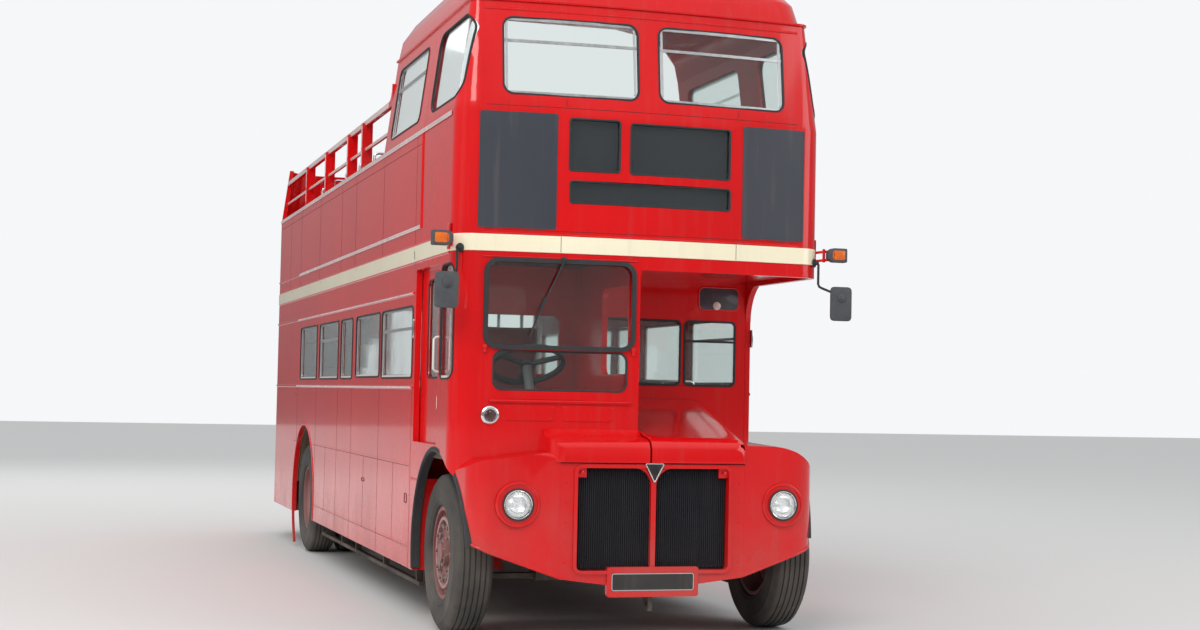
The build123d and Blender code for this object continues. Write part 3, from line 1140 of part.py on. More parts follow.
# Staircase from the platform to the upper deck: two steps across, three winders, then forwards
RISERS = 9
RISE = (UPPER_DECK_Z - PLATFORM_Z) / RISERS
GOING = 250
TREAD = 30
STAIR_WIDTH = 740
NEWEL = (-HALF + WALL + 20 + STAIR_WIDTH, TAIL_Y - WALL - 20 - STAIR_WIDTH)
with BuildPart() as staircase:
    for i in range(2):
        top = PLATFORM_Z + RISE * (i + 1)
        x = NEWEL[0] + GOING * (2 - i)
        block(x - GOING, x, NEWEL[1], NEWEL[1] + STAIR_WIDTH, max(top - RISE - TREAD, PLATFORM_Z), top)
    for i in range(3):
        top = PLATFORM_Z + RISE * (i + 3)
        turn = [(STAIR_WIDTH * cos(radians(90 + 30 * (i + j))), STAIR_WIDTH * sin(radians(90 + 30 * (i + j))))
                for j in (0, 1)]
        with BuildSketch(Plane.XY.offset(top - RISE - TREAD)):
            with Locations(NEWEL):
                Polygon((0, 0), turn[0], turn[1])
        extrude(amount=RISE + TREAD)
    for i in range(3):
        top = PLATFORM_Z + RISE * (i + 6)
        y = NEWEL[1] - GOING * i
        block(NEWEL[0] - STAIR_WIDTH, NEWEL[0], y - GOING, y, top - RISE - TREAD, top)
staircase.part.label = "staircase"
export_step(staircase.part, "parts/staircase.step")

# Platform pole at the open corner
with BuildPart() as platform_pole:
    rod((1040, TAIL_Y - 300, PLATFORM_Z), (1040, TAIL_Y - 300, BAND_LOW_Z), 17)
platform_pole.part.label = "platform_pole"
export_step(platform_pole.part, "parts/platform_pole.step")

# Side members, cross members, the lifeguard rails under the skirt and the fuel tank
MEMBER_TOP_Z = DECK_Z - FLOOR_THICK - FIT
with BuildPart() as underframe:
    for side in (-1, 1):
        block(side * 440, side * 520, BULKHEAD_Y + 401, AXLE_REAR_Y - 560, 470, MEMBER_TOP_Z)
        block(side * 1090, side * 1130, AXLE_FRONT_Y + 800, AXLE_REAR_Y - 700,
              LIFEGUARD_Z - 15, LIFEGUARD_Z + 15)
    for y in PILLARS_Y[:4]:
        block(-1130, 1130, y + 100, y + 140, 560, MEMBER_TOP_Z)
        for side in (-1, 1):
            block(side * 1090, side * 1130, y + 100, y + 140, LIFEGUARD_Z, MEMBER_TOP_Z)
    block(-1080, -540, PILLARS_Y[2], PILLARS_Y[3] + 60, 320, 560 - FIT)
underframe.part.label = "underframe"
export_step(underframe.part, "parts/underframe.step")

GEARBOX_Y = (BULKHEAD_Y + 600, BULKHEAD_Y + 1300)
with BuildPart() as gearbox:
    block(-240, 120, *GEARBOX_Y, 380, 555)
    rod((SHAFT_X, GEARBOX_Y[1], TYRE_R), (SHAFT_X, NOSE_Y - FIT, TYRE_R), 45)
    rod((0, BULKHEAD_Y - 60 + FIT, 510), (0, GEARBOX_Y[0], 510), 45)
gearbox.part.label = "gearbox"
export_step(gearbox.part, "parts/gearbox.step")
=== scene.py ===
# %% [markdown]
# # Dressing a half-cab double decker bus
# The bus comes in as a fixed frame of plain solids, one for each panel, pane, wheel and seat, already in
# place. This lesson gives every surface its finish and adds the small work that sits on the panels:
# beadings, rivets, window bars, lamps, tread and cushions. Everything is in metres, Z is up, the front faces
# -Y, and the driver's flank is at -X.

# %% Load the frame
import json
import math

import bmesh
import bpy
from mathutils import Matrix, Vector


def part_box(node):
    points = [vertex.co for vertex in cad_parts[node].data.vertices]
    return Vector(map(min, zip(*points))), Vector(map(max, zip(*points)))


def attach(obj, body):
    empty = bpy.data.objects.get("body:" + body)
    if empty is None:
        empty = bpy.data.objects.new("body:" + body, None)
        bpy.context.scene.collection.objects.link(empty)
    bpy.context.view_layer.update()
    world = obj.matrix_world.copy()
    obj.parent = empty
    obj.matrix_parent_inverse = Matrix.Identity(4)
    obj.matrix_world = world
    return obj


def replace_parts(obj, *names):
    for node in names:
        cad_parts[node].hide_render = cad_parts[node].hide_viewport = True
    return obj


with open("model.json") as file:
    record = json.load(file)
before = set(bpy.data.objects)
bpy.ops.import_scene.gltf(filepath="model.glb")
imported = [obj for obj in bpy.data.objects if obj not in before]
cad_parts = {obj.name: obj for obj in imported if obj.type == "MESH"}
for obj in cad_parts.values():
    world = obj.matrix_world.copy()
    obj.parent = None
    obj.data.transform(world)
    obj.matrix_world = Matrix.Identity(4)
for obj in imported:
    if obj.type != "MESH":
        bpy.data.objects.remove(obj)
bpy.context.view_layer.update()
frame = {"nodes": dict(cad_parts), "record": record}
nodes = frame["nodes"]

# %% [markdown]
# ## Driving values
# A few sizes place nearly everything else, so they stand first: the lines of the two axles, half the width of
# the body and the radius of the tyres.

# %% Driving values
FRONT_AXLE_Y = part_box("front_tyre_offside")[0].y / 2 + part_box("front_tyre_offside")[1].y / 2
REAR_AXLE_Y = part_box("rear_tyres_offside")[0].y / 2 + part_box("rear_tyres_offside")[1].y / 2
HALF_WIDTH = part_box("lower_side_nearside")[1].x
TYRE_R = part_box("front_tyre_offside")[1].z / 2
print("axles at", round(FRONT_AXLE_Y, 3), "and", round(REAR_AXLE_Y, 3), "half width", round(HALF_WIDTH, 3))

# %% [markdown]
# ## The camera
# The camera stands at the kerb of the photograph: eye height, a little left of the bus and 11 m in front of
# its front axle. It is turned 17 degrees to the right, tipped up slightly and rolled by about one degree. A
# camera looks along its own -Z, so its turn is written as three directions: right, up and back.

# %% Camera
EYE = Vector((-3.641, FRONT_AXLE_Y - 11.355, 1.52))
YAW, PITCH, ROLL = math.radians(17.14), math.radians(2.48), math.radians(1.17)
ahead = Vector((math.sin(YAW) * math.cos(PITCH), math.cos(YAW) * math.cos(PITCH), math.sin(PITCH)))
level = Vector((math.cos(YAW), -math.sin(YAW), 0))
upright = level.cross(ahead)
right = level * math.cos(ROLL) + upright * math.sin(ROLL)
up = upright * math.cos(ROLL) - level * math.sin(ROLL)
camera = bpy.data.objects.new("photo_camera", bpy.data.cameras.new("photo_camera"))
bpy.context.scene.collection.objects.link(camera)
camera.matrix_world = Matrix((right, up, -ahead)).transposed().to_4x4()
camera.location = EYE
camera.data.sensor_width = 36
camera.data.lens = 54.78
camera.data.clip_end = 200
bpy.context.scene.camera = camera
print("camera at", tuple(round(v, 2) for v in EYE))

# %% [markdown]
# ## Building with nodes
# Every surface is made of shader nodes. A few helpers place a node, set or feed its inputs and do small
# steps of arithmetic, so each finish below reads as a short recipe. The patterns read Object coordinates,
# which on these pieces are metres on the bus, so a streak can run over two panels without a break.

# %% Building with nodes
def fill_inputs(tree, made, links):
    """Sets a node's inputs to values, or feeds them from sockets."""
    for socket, value in links.items():
        if isinstance(value, bpy.types.NodeSocket):
            tree.links.new(value, made.inputs[socket])
        else:
            made.inputs[socket].default_value = value


def node(tree, kind, links=(), **values):
    """A node with its plain settings and its inputs."""
    made = tree.nodes.new(kind)
    for setting, value in values.items():
        setattr(made, setting, value)
    fill_inputs(tree, made, dict(links))
    return made


def shader_material(name):
    """A new material, with its tree and its Principled shader."""
    material = bpy.data.materials.new(name)
    material.use_nodes = True
    return material, material.node_tree, material.node_tree.nodes["Principled BSDF"]


def noise(tree, place, scale, detail=4.0, rough=0.55, stretch=(1, 1, 1)):
    """A noise value, finer as the scale grows, stretched along the axes."""
    mapped = node(tree, "ShaderNodeMapping", {"Vector": place, "Scale": stretch})
    return node(tree, "ShaderNodeTexNoise", {"Vector": mapped.outputs[0], "Scale": scale, "Detail": detail,
                                             "Roughness": rough}).outputs["Fac"]


def between(tree, value, low, high, to_low=0.0, to_high=1.0):
    """A value stretched from one range to another, and held inside it."""
    made = node(tree, "ShaderNodeMapRange", {"Value": value, "From Min": low, "From Max": high,
                                             "To Min": to_low, "To Max": to_high})
    return made.outputs["Result"]


def sums(tree, operation, first, second):
    """One step of arithmetic on two values."""
    return node(tree, "ShaderNodeMath", {0: first, 1: second}, operation=operation).outputs[0]


def object_place(tree):
    """Object coordinates, which are metres on the bus."""
    return node(tree, "ShaderNodeTexCoord").outputs["Object"]


def height_of(tree, place):
    """How high above the road a point is."""
    return node(tree, "ShaderNodeSeparateXYZ", {0: place}).outputs["Z"]


def blend_colour(tree, share, first, second):
    """Two colours, each three numbers or a socket, mixed by a share."""
    first, second = [(*colour, 1) if isinstance(colour, tuple) else colour for colour in (first, second)]
    mix = node(tree, "ShaderNodeMix", {"Factor": share, "A": first, "B": second}, data_type="RGBA")
    return mix.outputs["Result"]


def bump(tree, height, distance, strength, **more):
    """A normal that follows a height."""
    links = {"Height": height, "Distance": distance, "Strength": strength, **more}
    return node(tree, "ShaderNodeBump", links).outputs[0]


print("node helpers ready")

# %% [markdown]
# ## Floor, sky and lamps
# A pale studio floor takes the shadow. The sky is white where the camera or a pane looks straight at it. For
# the light and the paint's reflections it is bright overhead and dim at the horizon, as a street is, so the
# upright panels keep their full red and only rounded edges catch the sky. A large high lamp stands in for
# the sun through cloud, and a weaker one fills the kerb side. Two more, behind and beside the bus, light it
# without showing as patches in the paint.

# %% Floor, sky and lamps
def in_scene(name, data):
    """A new object in the scene, with its mesh, lamp or curve."""
    made = bpy.data.objects.new(name, data)
    bpy.context.scene.collection.objects.link(made)
    return made


def area_lamp(name, place, aim, size, power, colour=(1, 1, 1)):
    """A square soft lamp that looks from one point to another."""
    light = bpy.data.lights.new(name, "AREA")
    light.size, light.energy, light.color = size, power, colour
    lamp = in_scene(name, light)
    lamp.location = place
    lamp.rotation_euler = (Vector(aim) - Vector(place)).to_track_quat("-Z", "Y").to_euler()
    return lamp


REACH = 60
floor_mesh = bpy.data.meshes.new("floor")
floor_mesh.from_pydata([(-REACH, -REACH, 0), (REACH, -REACH, 0), (REACH, REACH, 0), (-REACH, REACH, 0)], [],
                       [(0, 1, 2, 3)])
in_scene("floor", floor_mesh)
floor_material, tree, shader = shader_material("pale_floor")
mottle = node(tree, "ShaderNodeTexNoise", {"Scale": 0.8, "Detail": 6}).outputs["Fac"]
fill_inputs(tree, shader, {"Base Color": blend_colour(tree, mottle, (0.60, 0.60, 0.59), (0.64, 0.64, 0.63)),
                           "Roughness": 0.7})
floor_mesh.materials.append(floor_material)

world = bpy.data.worlds.new("studio")
world.use_nodes = True
bpy.context.scene.world = world
sky = world.node_tree
rays = node(sky, "ShaderNodeLightPath").outputs
seen = sums(sky, "MAXIMUM", rays["Is Camera Ray"], rays["Is Transmission Ray"])
upwards = height_of(sky, node(sky, "ShaderNodeTexCoord").outputs["Generated"])
overhead = between(sky, upwards, 0.0, 0.75, 0.16, 1.0)
fill_inputs(sky, sky.nodes["Background"], {"Strength": between(sky, seen, 0.0, 1.0, overhead, 0.95),
                                           "Color": (0.97, 0.98, 1, 1)})

WARM = (1, 0.98, 0.95)
area_lamp("key", (-9, -16, 13), (0, -1, 1.5), 8, 1500, WARM)
area_lamp("fill", (12, -12, 7), (0, -2, 1.5), 8, 450)
area_lamp("rim", (-4, 15, 12), (0, 2, 2), 8, 700).visible_glossy = False
area_lamp("side", (-13, -6, 6), (0, 1, 2), 7, 420, WARM).visible_glossy = False
bpy.context.scene.view_settings.view_transform = "Standard"
print("four lamps and a sky")

# %% [markdown]
# ## Shared effects
# Road grime, faded patches and the faint waviness of hand-hung panels show on every painted surface. Each is
# a node group, built once and placed in each material with its own values.

# %% Shared effects
def new_group(name, inputs, outputs):
    """A shader node group with named number inputs and named outputs."""
    group = bpy.data.node_groups.new(name, "ShaderNodeTree")
    for title, value in inputs:
        group.interface.new_socket(title, in_out="INPUT", socket_type="NodeSocketFloat").default_value = value
    for title, kind in outputs:
        group.interface.new_socket(title, in_out="OUTPUT", socket_type=kind)
    return group, group.nodes.new("NodeGroupInput"), group.nodes.new("NodeGroupOutput")


grime_group, grime_in, grime_out = new_group(
    "road_grime", [("Top", 1.0), ("Amount", 0.5), ("Streaks", 0.3)], [("Mask", "NodeSocketFloat")])
place = object_place(grime_group)
low_share = node(grime_group, "ShaderNodeMapRange", {
    "Value": height_of(grime_group, place), "From Min": grime_in.outputs["Top"], "From Max": 0.1})
cloud = between(grime_group, noise(grime_group, place, 2.3, 8), 0.35, 0.75)
spatter = sums(grime_group, "MULTIPLY", low_share.outputs[0], cloud)
streak = between(grime_group, noise(grime_group, place, 3.0, 5, 0.6, (5, 5, 0.35)), 0.52, 0.8)
streaks = sums(grime_group, "MULTIPLY", streak, grime_in.outputs["Streaks"])
both = sums(grime_group, "ADD", sums(grime_group, "MULTIPLY", spatter, grime_in.outputs["Amount"]), streaks)
fill_inputs(grime_group, grime_out, {"Mask": node(grime_group, "ShaderNodeClamp", {0: both}).outputs[0]})

panel_group, panel_in, panel_out = new_group(
    "hung_panel", [("Wave", 0.02), ("Peel", 0.02)],
    [("Tone", "NodeSocketFloat"), ("Normal", "NodeSocketVector")])
place = object_place(panel_group)
wave = bump(panel_group, noise(panel_group, place, 1.7, 2), 0.02, panel_in.outputs["Wave"])
peel = bump(panel_group, noise(panel_group, place, 160, 2), 0.001, panel_in.outputs["Peel"], Normal=wave)
tone = between(panel_group, noise(panel_group, place, 1.1, 6), 0.3, 0.7)
fill_inputs(panel_group, panel_out, {"Tone": tone, "Normal": peel})
print("groups:", [g.name for g in bpy.data.node_groups])

# %% [markdown]
# ## Coach paint
# Bus red is a clear, glossy enamel that is washed every night, so it shows sky and neighbours like a dull
# mirror. The colour is nearly even; what makes it real is a slight change of tone from panel to panel, a
# film of road dust towards the skirt and the clear coat over it all. One function builds every painted
# finish from a few numbers.

# %% Coach paint
DUST = (0.20, 0.17, 0.14)


def group_outputs(tree, group, **values):
    """A shared effect placed in a material with its own values: what it gives."""
    made = node(tree, "ShaderNodeGroup", node_tree=group)
    fill_inputs(tree, made, values)
    return made.outputs


def paint(name, colour, faded, gloss=0.22, coat=0.7, grime=0.5, top=1.0, streaks=0.25, metallic=0.0,
          wave=0.25, specular=0.4):
    """Enamel: its colour, the tone that it fades to, its roughness and how far up the road dust climbs."""
    material, tree, shader = shader_material(name)
    panel = group_outputs(tree, panel_group, Wave=wave, Peel=min(0.15, 1.5 * wave))
    dirt = group_outputs(tree, grime_group, Top=top, Amount=grime, Streaks=streaks)["Mask"]
    toned = blend_colour(tree, panel["Tone"], colour, faded)
    fill_inputs(tree, shader, {
        "Base Color": blend_colour(tree, dirt, toned, DUST),
        "Roughness": between(tree, dirt, 0, 0.6, gloss, 0.6), "Normal": panel["Normal"],
        "Metallic": metallic, "Specular IOR Level": specular, "Coat Weight": coat, "Coat Roughness": 0.06})
    return material


red_paint = paint("bus_red", (0.70, 0.003, 0.005), (0.60, 0.004, 0.006), gloss=0.2, coat=0.6, streaks=0.10,
                  wave=0.10, specular=0.2)
cream_paint = paint("band_cream", (0.95, 0.88, 0.66), (0.90, 0.82, 0.60), streaks=0.12)
board_paint = paint("board_charcoal", (0.038, 0.042, 0.058), (0.048, 0.052, 0.066), gloss=0.4, coat=0.2)
grey_paint = paint("cab_grey", (0.10, 0.10, 0.11), (0.13, 0.13, 0.13), gloss=0.45, coat=0.1)
ceiling_paint = paint("ceiling_cream", (0.78, 0.73, 0.56), (0.74, 0.68, 0.50), gloss=0.4, coat=0.1, grime=0.0)
plate_paint = paint("plate_black", (0.012, 0.012, 0.013), (0.02, 0.02, 0.02), gloss=0.3, coat=0.3, grime=0.2)
wheel_paint = paint("wheel_brown_red", (0.25, 0.055, 0.062), (0.33, 0.15, 0.145), gloss=0.5, coat=0.1,
                    grime=0.9, top=1.3, streaks=0.5)
chassis_paint = paint("chassis_steel", (0.035, 0.033, 0.032), (0.09, 0.07, 0.055), gloss=0.7, coat=0.0,
                      grime=0.8, top=1.2, streaks=0.5, metallic=0.3)
print("paints:", [m.name for m in bpy.data.materials if m.name != "pale_floor"])

# %% [markdown]
# ## Rubber, glass, metal and trim
# Tyres and seals are dark and rough, with a bloom of dust. The panes are real glass, but a Transparent
# shader takes over for the lamps' rays, so that light reaches the seats behind them.

# %% Rubber, glass, metal and trim
def rubber(name, colour, dusty, grime):
    """Rough rubber with a dusty bloom."""
    material, tree, shader = shader_material(name)
    place = object_place(tree)
    dirt = group_outputs(tree, grime_group, Top=1.4, Amount=grime, Streaks=0.1)["Mask"]
    bloom = noise(tree, place, 14, 8)
    toned = blend_colour(tree, between(tree, bloom, 0.35, 0.75), colour, dusty)
    fill_inputs(tree, shader, {"Base Color": blend_colour(tree, dirt, toned, DUST),
                               "Roughness": between(tree, bloom, 0.3, 0.7, 0.6, 0.85),
                               "Normal": bump(tree, noise(tree, place, 90, 6), 0.001, 0.3)})
    return material


def clear_glass(name, tint, roughness=0.015):
    """A pane that the lamps' rays pass straight through."""
    material, tree, shader = shader_material(name)
    smear = noise(tree, object_place(tree), 6, 5)
    fill_inputs(tree, shader, {"Base Color": (*tint, 1), "Transmission Weight": 1, "IOR": 1.45,
                               "Roughness": between(tree, smear, 0.4, 0.8, roughness, roughness + 0.05)})
    shadow_ray = node(tree, "ShaderNodeLightPath").outputs["Is Shadow Ray"]
    clear = node(tree, "ShaderNodeBsdfTransparent", {"Color": (*tint, 1)})
    mix = node(tree, "ShaderNodeMixShader", {0: shadow_ray, 1: shader.outputs[0], 2: clear.outputs[0]})
    fill_inputs(tree, tree.nodes["Material Output"], {"Surface": mix.outputs[0]})
    return material


def bright_metal(name, colour, roughness):
    """Plated or bare metal, a little hazy in places."""
    material, tree, shader = shader_material(name)
    haze = noise(tree, object_place(tree), 35, 5)
    fill_inputs(tree, shader, {"Base Color": (*colour, 1), "Metallic": 1,
                               "Roughness": between(tree, haze, 0.35, 0.75, roughness, roughness + 0.2)})
    return material


def lens_plastic(name, colour, pale):
    """Coloured lamp plastic, moulded in fine level ribs."""
    material, tree, shader = shader_material(name)
    place = object_place(tree)
    ribs = sums(tree, "PINGPONG", sums(tree, "MULTIPLY", height_of(tree, place), 220.0), 0.5)
    fill_inputs(tree, shader, {
        "Base Color": blend_colour(tree, between(tree, noise(tree, place, 25, 4), 0.35, 0.7), colour, pale),
        "Roughness": between(tree, noise(tree, place, 60, 4), 0.3, 0.7, 0.15, 0.3),
        "Normal": bump(tree, ribs, 0.001, 0.35)})
    return material


tyre_rubber = rubber("tyre_rubber", (0.022, 0.022, 0.023), (0.05, 0.048, 0.045), 0.7)
seal_rubber = rubber("seal_rubber", (0.018, 0.019, 0.022), (0.03, 0.032, 0.037), 0.1)
window_glass = clear_glass("window_glass", (0.79, 0.85, 0.83))
chrome = bright_metal("chrome", (0.80, 0.80, 0.81), 0.06)
alloy = bright_metal("window_alloy", (0.70, 0.71, 0.72), 0.28)
amber_lens = lens_plastic("amber_lens", (0.66, 0.11, 0.008), (0.78, 0.17, 0.012))
print("materials:", len(bpy.data.materials))

# %% [markdown]
# ## Wood and cloth
# The floors are ribbed slats of wood, worn pale in places. The seats are hide cloth on the open deck and a
# woven plush below.

# %% Wood and cloth
def slatted_wood(name, dark, pale, pitch=0.045):
    """Fore-and-aft slats with a dark gap between them."""
    material, tree, shader = shader_material(name)
    place = object_place(tree)
    across = node(tree, "ShaderNodeSeparateXYZ", {0: place}).outputs["X"]
    slat = between(tree, sums(tree, "PINGPONG", sums(tree, "MULTIPLY", across, 1 / pitch), 0.5), 0.03, 0.09)
    grain = noise(tree, place, 9, 6, 0.6, (9, 0.7, 9))
    wood = blend_colour(tree, between(tree, grain, 0.35, 0.7), dark, pale)
    fill_inputs(tree, shader, {"Base Color": blend_colour(tree, slat, (0.01, 0.008, 0.006), wood),
                               "Normal": bump(tree, slat, 0.004, 0.8), "Roughness": 0.6})
    return material


def seat_cloth(name, ground, figure, weave=900):
    """Woven cloth with a small fleck."""
    material, tree, shader = shader_material(name)
    place = object_place(tree)
    fleck = between(tree, noise(tree, place, 60, 2), 0.52, 0.6)
    fill_inputs(tree, shader, {"Base Color": blend_colour(tree, fleck, ground, figure), "Roughness": 0.85,
                               "Normal": bump(tree, noise(tree, place, weave, 1), 0.001, 0.4),
                               "Sheen Weight": 0.3})
    return material


floor_wood = slatted_wood("floor_slats", (0.10, 0.065, 0.04), (0.21, 0.15, 0.10))
plush = seat_cloth("saloon_plush", (0.13, 0.03, 0.03), (0.28, 0.20, 0.06))
hide = seat_cloth("deck_hide", (0.14, 0.018, 0.02), (0.16, 0.025, 0.025))
print("wood and cloth done")

# %% [markdown]
# ## Finishes for the fixed pieces
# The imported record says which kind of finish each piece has. A short table turns those kinds into the
# materials above, and each piece gets its material through its own slots.

# %% Finishes for the fixed pieces
FINISH_OF = {
    "red_paint": red_paint, "cream_paint": cream_paint, "charcoal_board": board_paint, "glass": window_glass,
    "black_mesh": seal_rubber, "grey_paint": grey_paint, "lamp_glass": chrome, "amber": amber_lens,
    "mirror_shell": grey_paint, "plate": plate_paint, "rubber": seal_rubber, "tyre": tyre_rubber,
    "wheel_paint": wheel_paint, "steel": chassis_paint, "floor": floor_wood, "ceiling": ceiling_paint,
    "seat_cloth": plush, "seat_cloth_upper": hide, "chrome": chrome,
}
for part in frame["record"]["subparts"]:
    piece = nodes[part["node"]]
    piece.data.materials.clear()
    piece.data.materials.append(FINISH_OF[part["material_slot"]])

# %% [markdown]
# ## Tools for trim
# Nearly all coach trim is one small section run along a line: a gasket round a window, a beading along a
# panel, a handle. So one helper sweeps a section along a path that lies on the body, and another turns a
# profile about an axis, as on a lathe. Each finished piece keeps its object at the origin, with its place in
# its mesh.

# %% Places on the body
SKIN_X = HALF_WIDTH - 0.006
NOSE_Y, NOSE_BOW = FRONT_AXLE_Y - 0.530, 0.0546
TAIL_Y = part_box("upper_rear")[1].y
TAIL_SKIN_Y, BULKHEAD_Y = TAIL_Y - 0.006, FRONT_AXLE_Y + 0.750
WAIST_Z, GUTTER_Z, LEAN = 3.257, 3.955, 0.090
CORNER_Y, CORNER_R = -0.318, 0.150


def drawn_in(z):
    """How far the upper walls, which lean in all round, have come in at this height."""
    return LEAN * min(1.0, max(0.0, (z - WAIST_Z) / (GUTTER_Z - WAIST_Z)))


def flank_x(z):
    """How far out a flank's skin is at this height."""
    return SKIN_X - drawn_in(z)


def on_flank(side, y, z, out=0.0):
    """A point on a flank, y metres behind the front axle and this far out from the skin."""
    return Vector((side * (flank_x(z) + out), FRONT_AXLE_Y + y, z))


def on_front(x, z, out=0.0):
    """A point on the bowed front."""
    return Vector((x, NOSE_Y + NOSE_BOW * x * x + drawn_in(z) - out, z))


def on_wall(y, points):
    """Points (x, z) of an upright wall across the bus."""
    return [Vector((x, y, z)) for x, z in points]


def sided(side, *places):
    """Places given for the nearside, moved to either side."""
    return [Vector((side * x, y, z)) for x, y, z in places]


def round_corner(side, y, z):
    """A point on a flank and its outward direction, also where the flank turns into the front."""
    radius = CORNER_R - drawn_in(z)
    ahead = min(max(0.0, CORNER_Y - y), 0.98 * radius)
    across = math.sqrt(radius ** 2 - ahead ** 2)
    place = Vector((side * (flank_x(z) - radius + across), FRONT_AXLE_Y + CORNER_Y - ahead, z))
    if y > CORNER_Y:
        place.y = FRONT_AXLE_Y + y
    return place, Vector((side * across, -ahead, 0)) / radius


def closer(points, gap=0.03):
    """The same closed outline with more points, none further apart than the gap."""
    dense = []
    for (u0, v0), (u1, v1) in zip(points, points[1:] + points[:1]):
        pieces = max(1, math.ceil(math.hypot(u1 - u0, v1 - v0) / gap))
        dense += [(u0 + (u1 - u0) * k / pieces, v0 + (v1 - v0) * k / pieces) for k in range(pieces)]
    return dense


def spread(low, high, level, count):
    """Points along a level line, close enough to follow the bowed front."""
    return [(low + (high - low) * k / count, level) for k in range(count + 1)]


def rounded(window, inset=0.0, steps=6):
    """The outline of a round-cornered opening (low u, high u, low v, high v, radius), drawn in a little."""
    u0, u1, v0, v1, radius = window
    u0, u1, v0, v1, radius = u0 + inset, u1 - inset, v0 + inset, v1 - inset, max(radius - inset, 0.004)
    points = []
    for centre_u, centre_v, start in ((u1 - radius, v1 - radius, 0), (u0 + radius, v1 - radius, 90),
                                      (u0 + radius, v0 + radius, 180), (u1 - radius, v0 + radius, 270)):
        for step in range(steps + 1):
            angle = math.radians(start + 90 * step / steps)
            points.append((centre_u + radius * math.cos(angle), centre_v + radius * math.sin(angle)))
    return points


def flat_bar(wide, tall, low=0.0):
    """The section of a flat bar: across the path, and out from it."""
    return [(-wide / 2, low), (wide / 2, low), (wide / 2, low + tall), (-wide / 2, low + tall)]


def half_round(radius, rise=1.0, steps=6):
    """The section of a half-round beading."""
    return [(radius * math.cos(math.pi * k / steps), rise * radius * math.sin(math.pi * k / steps))
            for k in range(steps + 1)]


def round_bar(radius, steps=8):
    """The section of a round bar."""
    return [(radius * math.cos(math.tau * k / steps), radius * math.sin(math.tau * k / steps))
            for k in range(steps)]


print("skin at", round(SKIN_X, 3), "nose at", round(NOSE_Y, 3))

# %% Sweeping and turning
def sweep(bm, path, section, out, closed=False):
    """Runs a section along a path. Its second value points along out: one way, or one for each point."""
    count, rings = len(path), []
    ways = out if isinstance(out, list) else [Vector(out)] * count
    for i, point in enumerate(path):
        out = ways[i]
        before = path[i - 1] if closed or i else path[0]
        after = path[(i + 1) % count] if closed or i < count - 1 else path[-1]
        run = (after - before).normalized()
        across = run.cross(out).normalized()
        face = across.cross(run)
        rings.append([bm.verts.new(point + across * a + face * b) for a, b in section])
    for i in range(count if closed else count - 1):
        first, second = rings[i], rings[(i + 1) % count]
        for j in range(len(section)):
            k = (j + 1) % len(section)
            bm.faces.new((first[j], second[j], second[k], first[k]))
    if not closed:
        bm.faces.new(rings[0][::-1])
        bm.faces.new(rings[-1])


def turn(bm, centre, axis, profile, steps=40):
    """Turns a profile of (radius, distance along the axis) about an axis through the centre."""
    centre, axis = Vector(centre), Vector(axis).normalized()
    first = axis.orthogonal().normalized()
    second = axis.cross(first)
    rings = []
    for radius, along in profile:
        middle = centre + axis * along
        if radius < 1e-6:
            rings.append([bm.verts.new(middle)])
            continue
        rings.append([bm.verts.new(middle + radius * (first * math.cos(math.tau * k / steps)
                                                      + second * math.sin(math.tau * k / steps)))
                      for k in range(steps)])
    for low, high in zip(rings, rings[1:]):
        for k in range(steps):
            n = (k + 1) % steps
            corners = [low[k % len(low)], low[n % len(low)], high[n % len(high)], high[k % len(high)]]
            bm.faces.new(list(dict.fromkeys(corners)))


def finished(name, bm, material, body="body", crease=35):
    """Closes a piece: normals outwards, smooth between creases, its material, and the body it rides on."""
    bmesh.ops.remove_doubles(bm, verts=bm.verts, dist=0.00004)
    bmesh.ops.recalc_face_normals(bm, faces=bm.faces)
    mesh = bpy.data.meshes.new(name)
    bm.to_mesh(mesh)
    bm.free()
    mesh.shade_smooth()
    mesh.set_sharp_from_angle(angle=math.radians(crease))
    mesh.materials.append(material)
    piece = in_scene(name, mesh)
    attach(piece, body)
    print(name, len(mesh.polygons), "faces")
    return piece


# %% Runs over the body
def flank_run(bm, side, points, section, out=0.0, closed=False):
    """Sweeps a section over points (y, z) of a flank."""
    sweep(bm, [on_flank(side, y, z, out) for y, z in points], section, (side, 0, 0), closed)


def front_run(bm, points, section, out=0.0, closed=False):
    """Sweeps a section over points (x, z) of the bowed front."""
    sweep(bm, [on_front(x, z, out) for x, z in points], section, (0, -1, 0), closed)


def wall_run(bm, y, points, section, closed=False, way=-1):
    """Sweeps a section over points (x, z) of an upright wall across the bus."""
    sweep(bm, on_wall(y, points), section, (0, way, 0), closed)


print("three kinds of run")

# %% [markdown]
# ## Trim finishes
# The pale strips on the beadings and rails are painted highlight, a pale satin finish that stands in for the
# sky reflected on their red crowns; the seams between panels are dark lines of dirt and shadow, and the small
# fittings are bright or black.

# %% Trim finishes
# Pale pinkish satin strip: painted highlight, standing in for the sky reflected on the crowns of the red
# beadings and rails.
beading_highlight = paint("painted_highlight_strip", (0.82, 0.72, 0.70), (0.66, 0.50, 0.49), gloss=0.25, coat=0.4,
                      grime=0.2, top=1.0, streaks=0.15, metallic=0.1)
seam_dark = rubber("seam_shadow", (0.05, 0.004, 0.004), (0.09, 0.012, 0.012), 0.3)
fitting_black = rubber("fitting_black", (0.02, 0.021, 0.024), (0.035, 0.036, 0.04), 0.1)
housing_grey = rubber("housing_grey", (0.055, 0.058, 0.066), (0.085, 0.088, 0.096), 0.1)
handle_white = paint("handle_white", (0.80, 0.78, 0.74), (0.70, 0.66, 0.60), gloss=0.3, coat=0.3, grime=0.0)
red_glass = lens_plastic("red_lens", (0.40, 0.005, 0.005), (0.50, 0.008, 0.008))
mesh_black = rubber("mesh_black", (0.030, 0.033, 0.048), (0.048, 0.052, 0.070), 0.1)
core_black = rubber("core_black", (0.006, 0.006, 0.008), (0.012, 0.012, 0.014), 0.1)
print("trim finishes done")

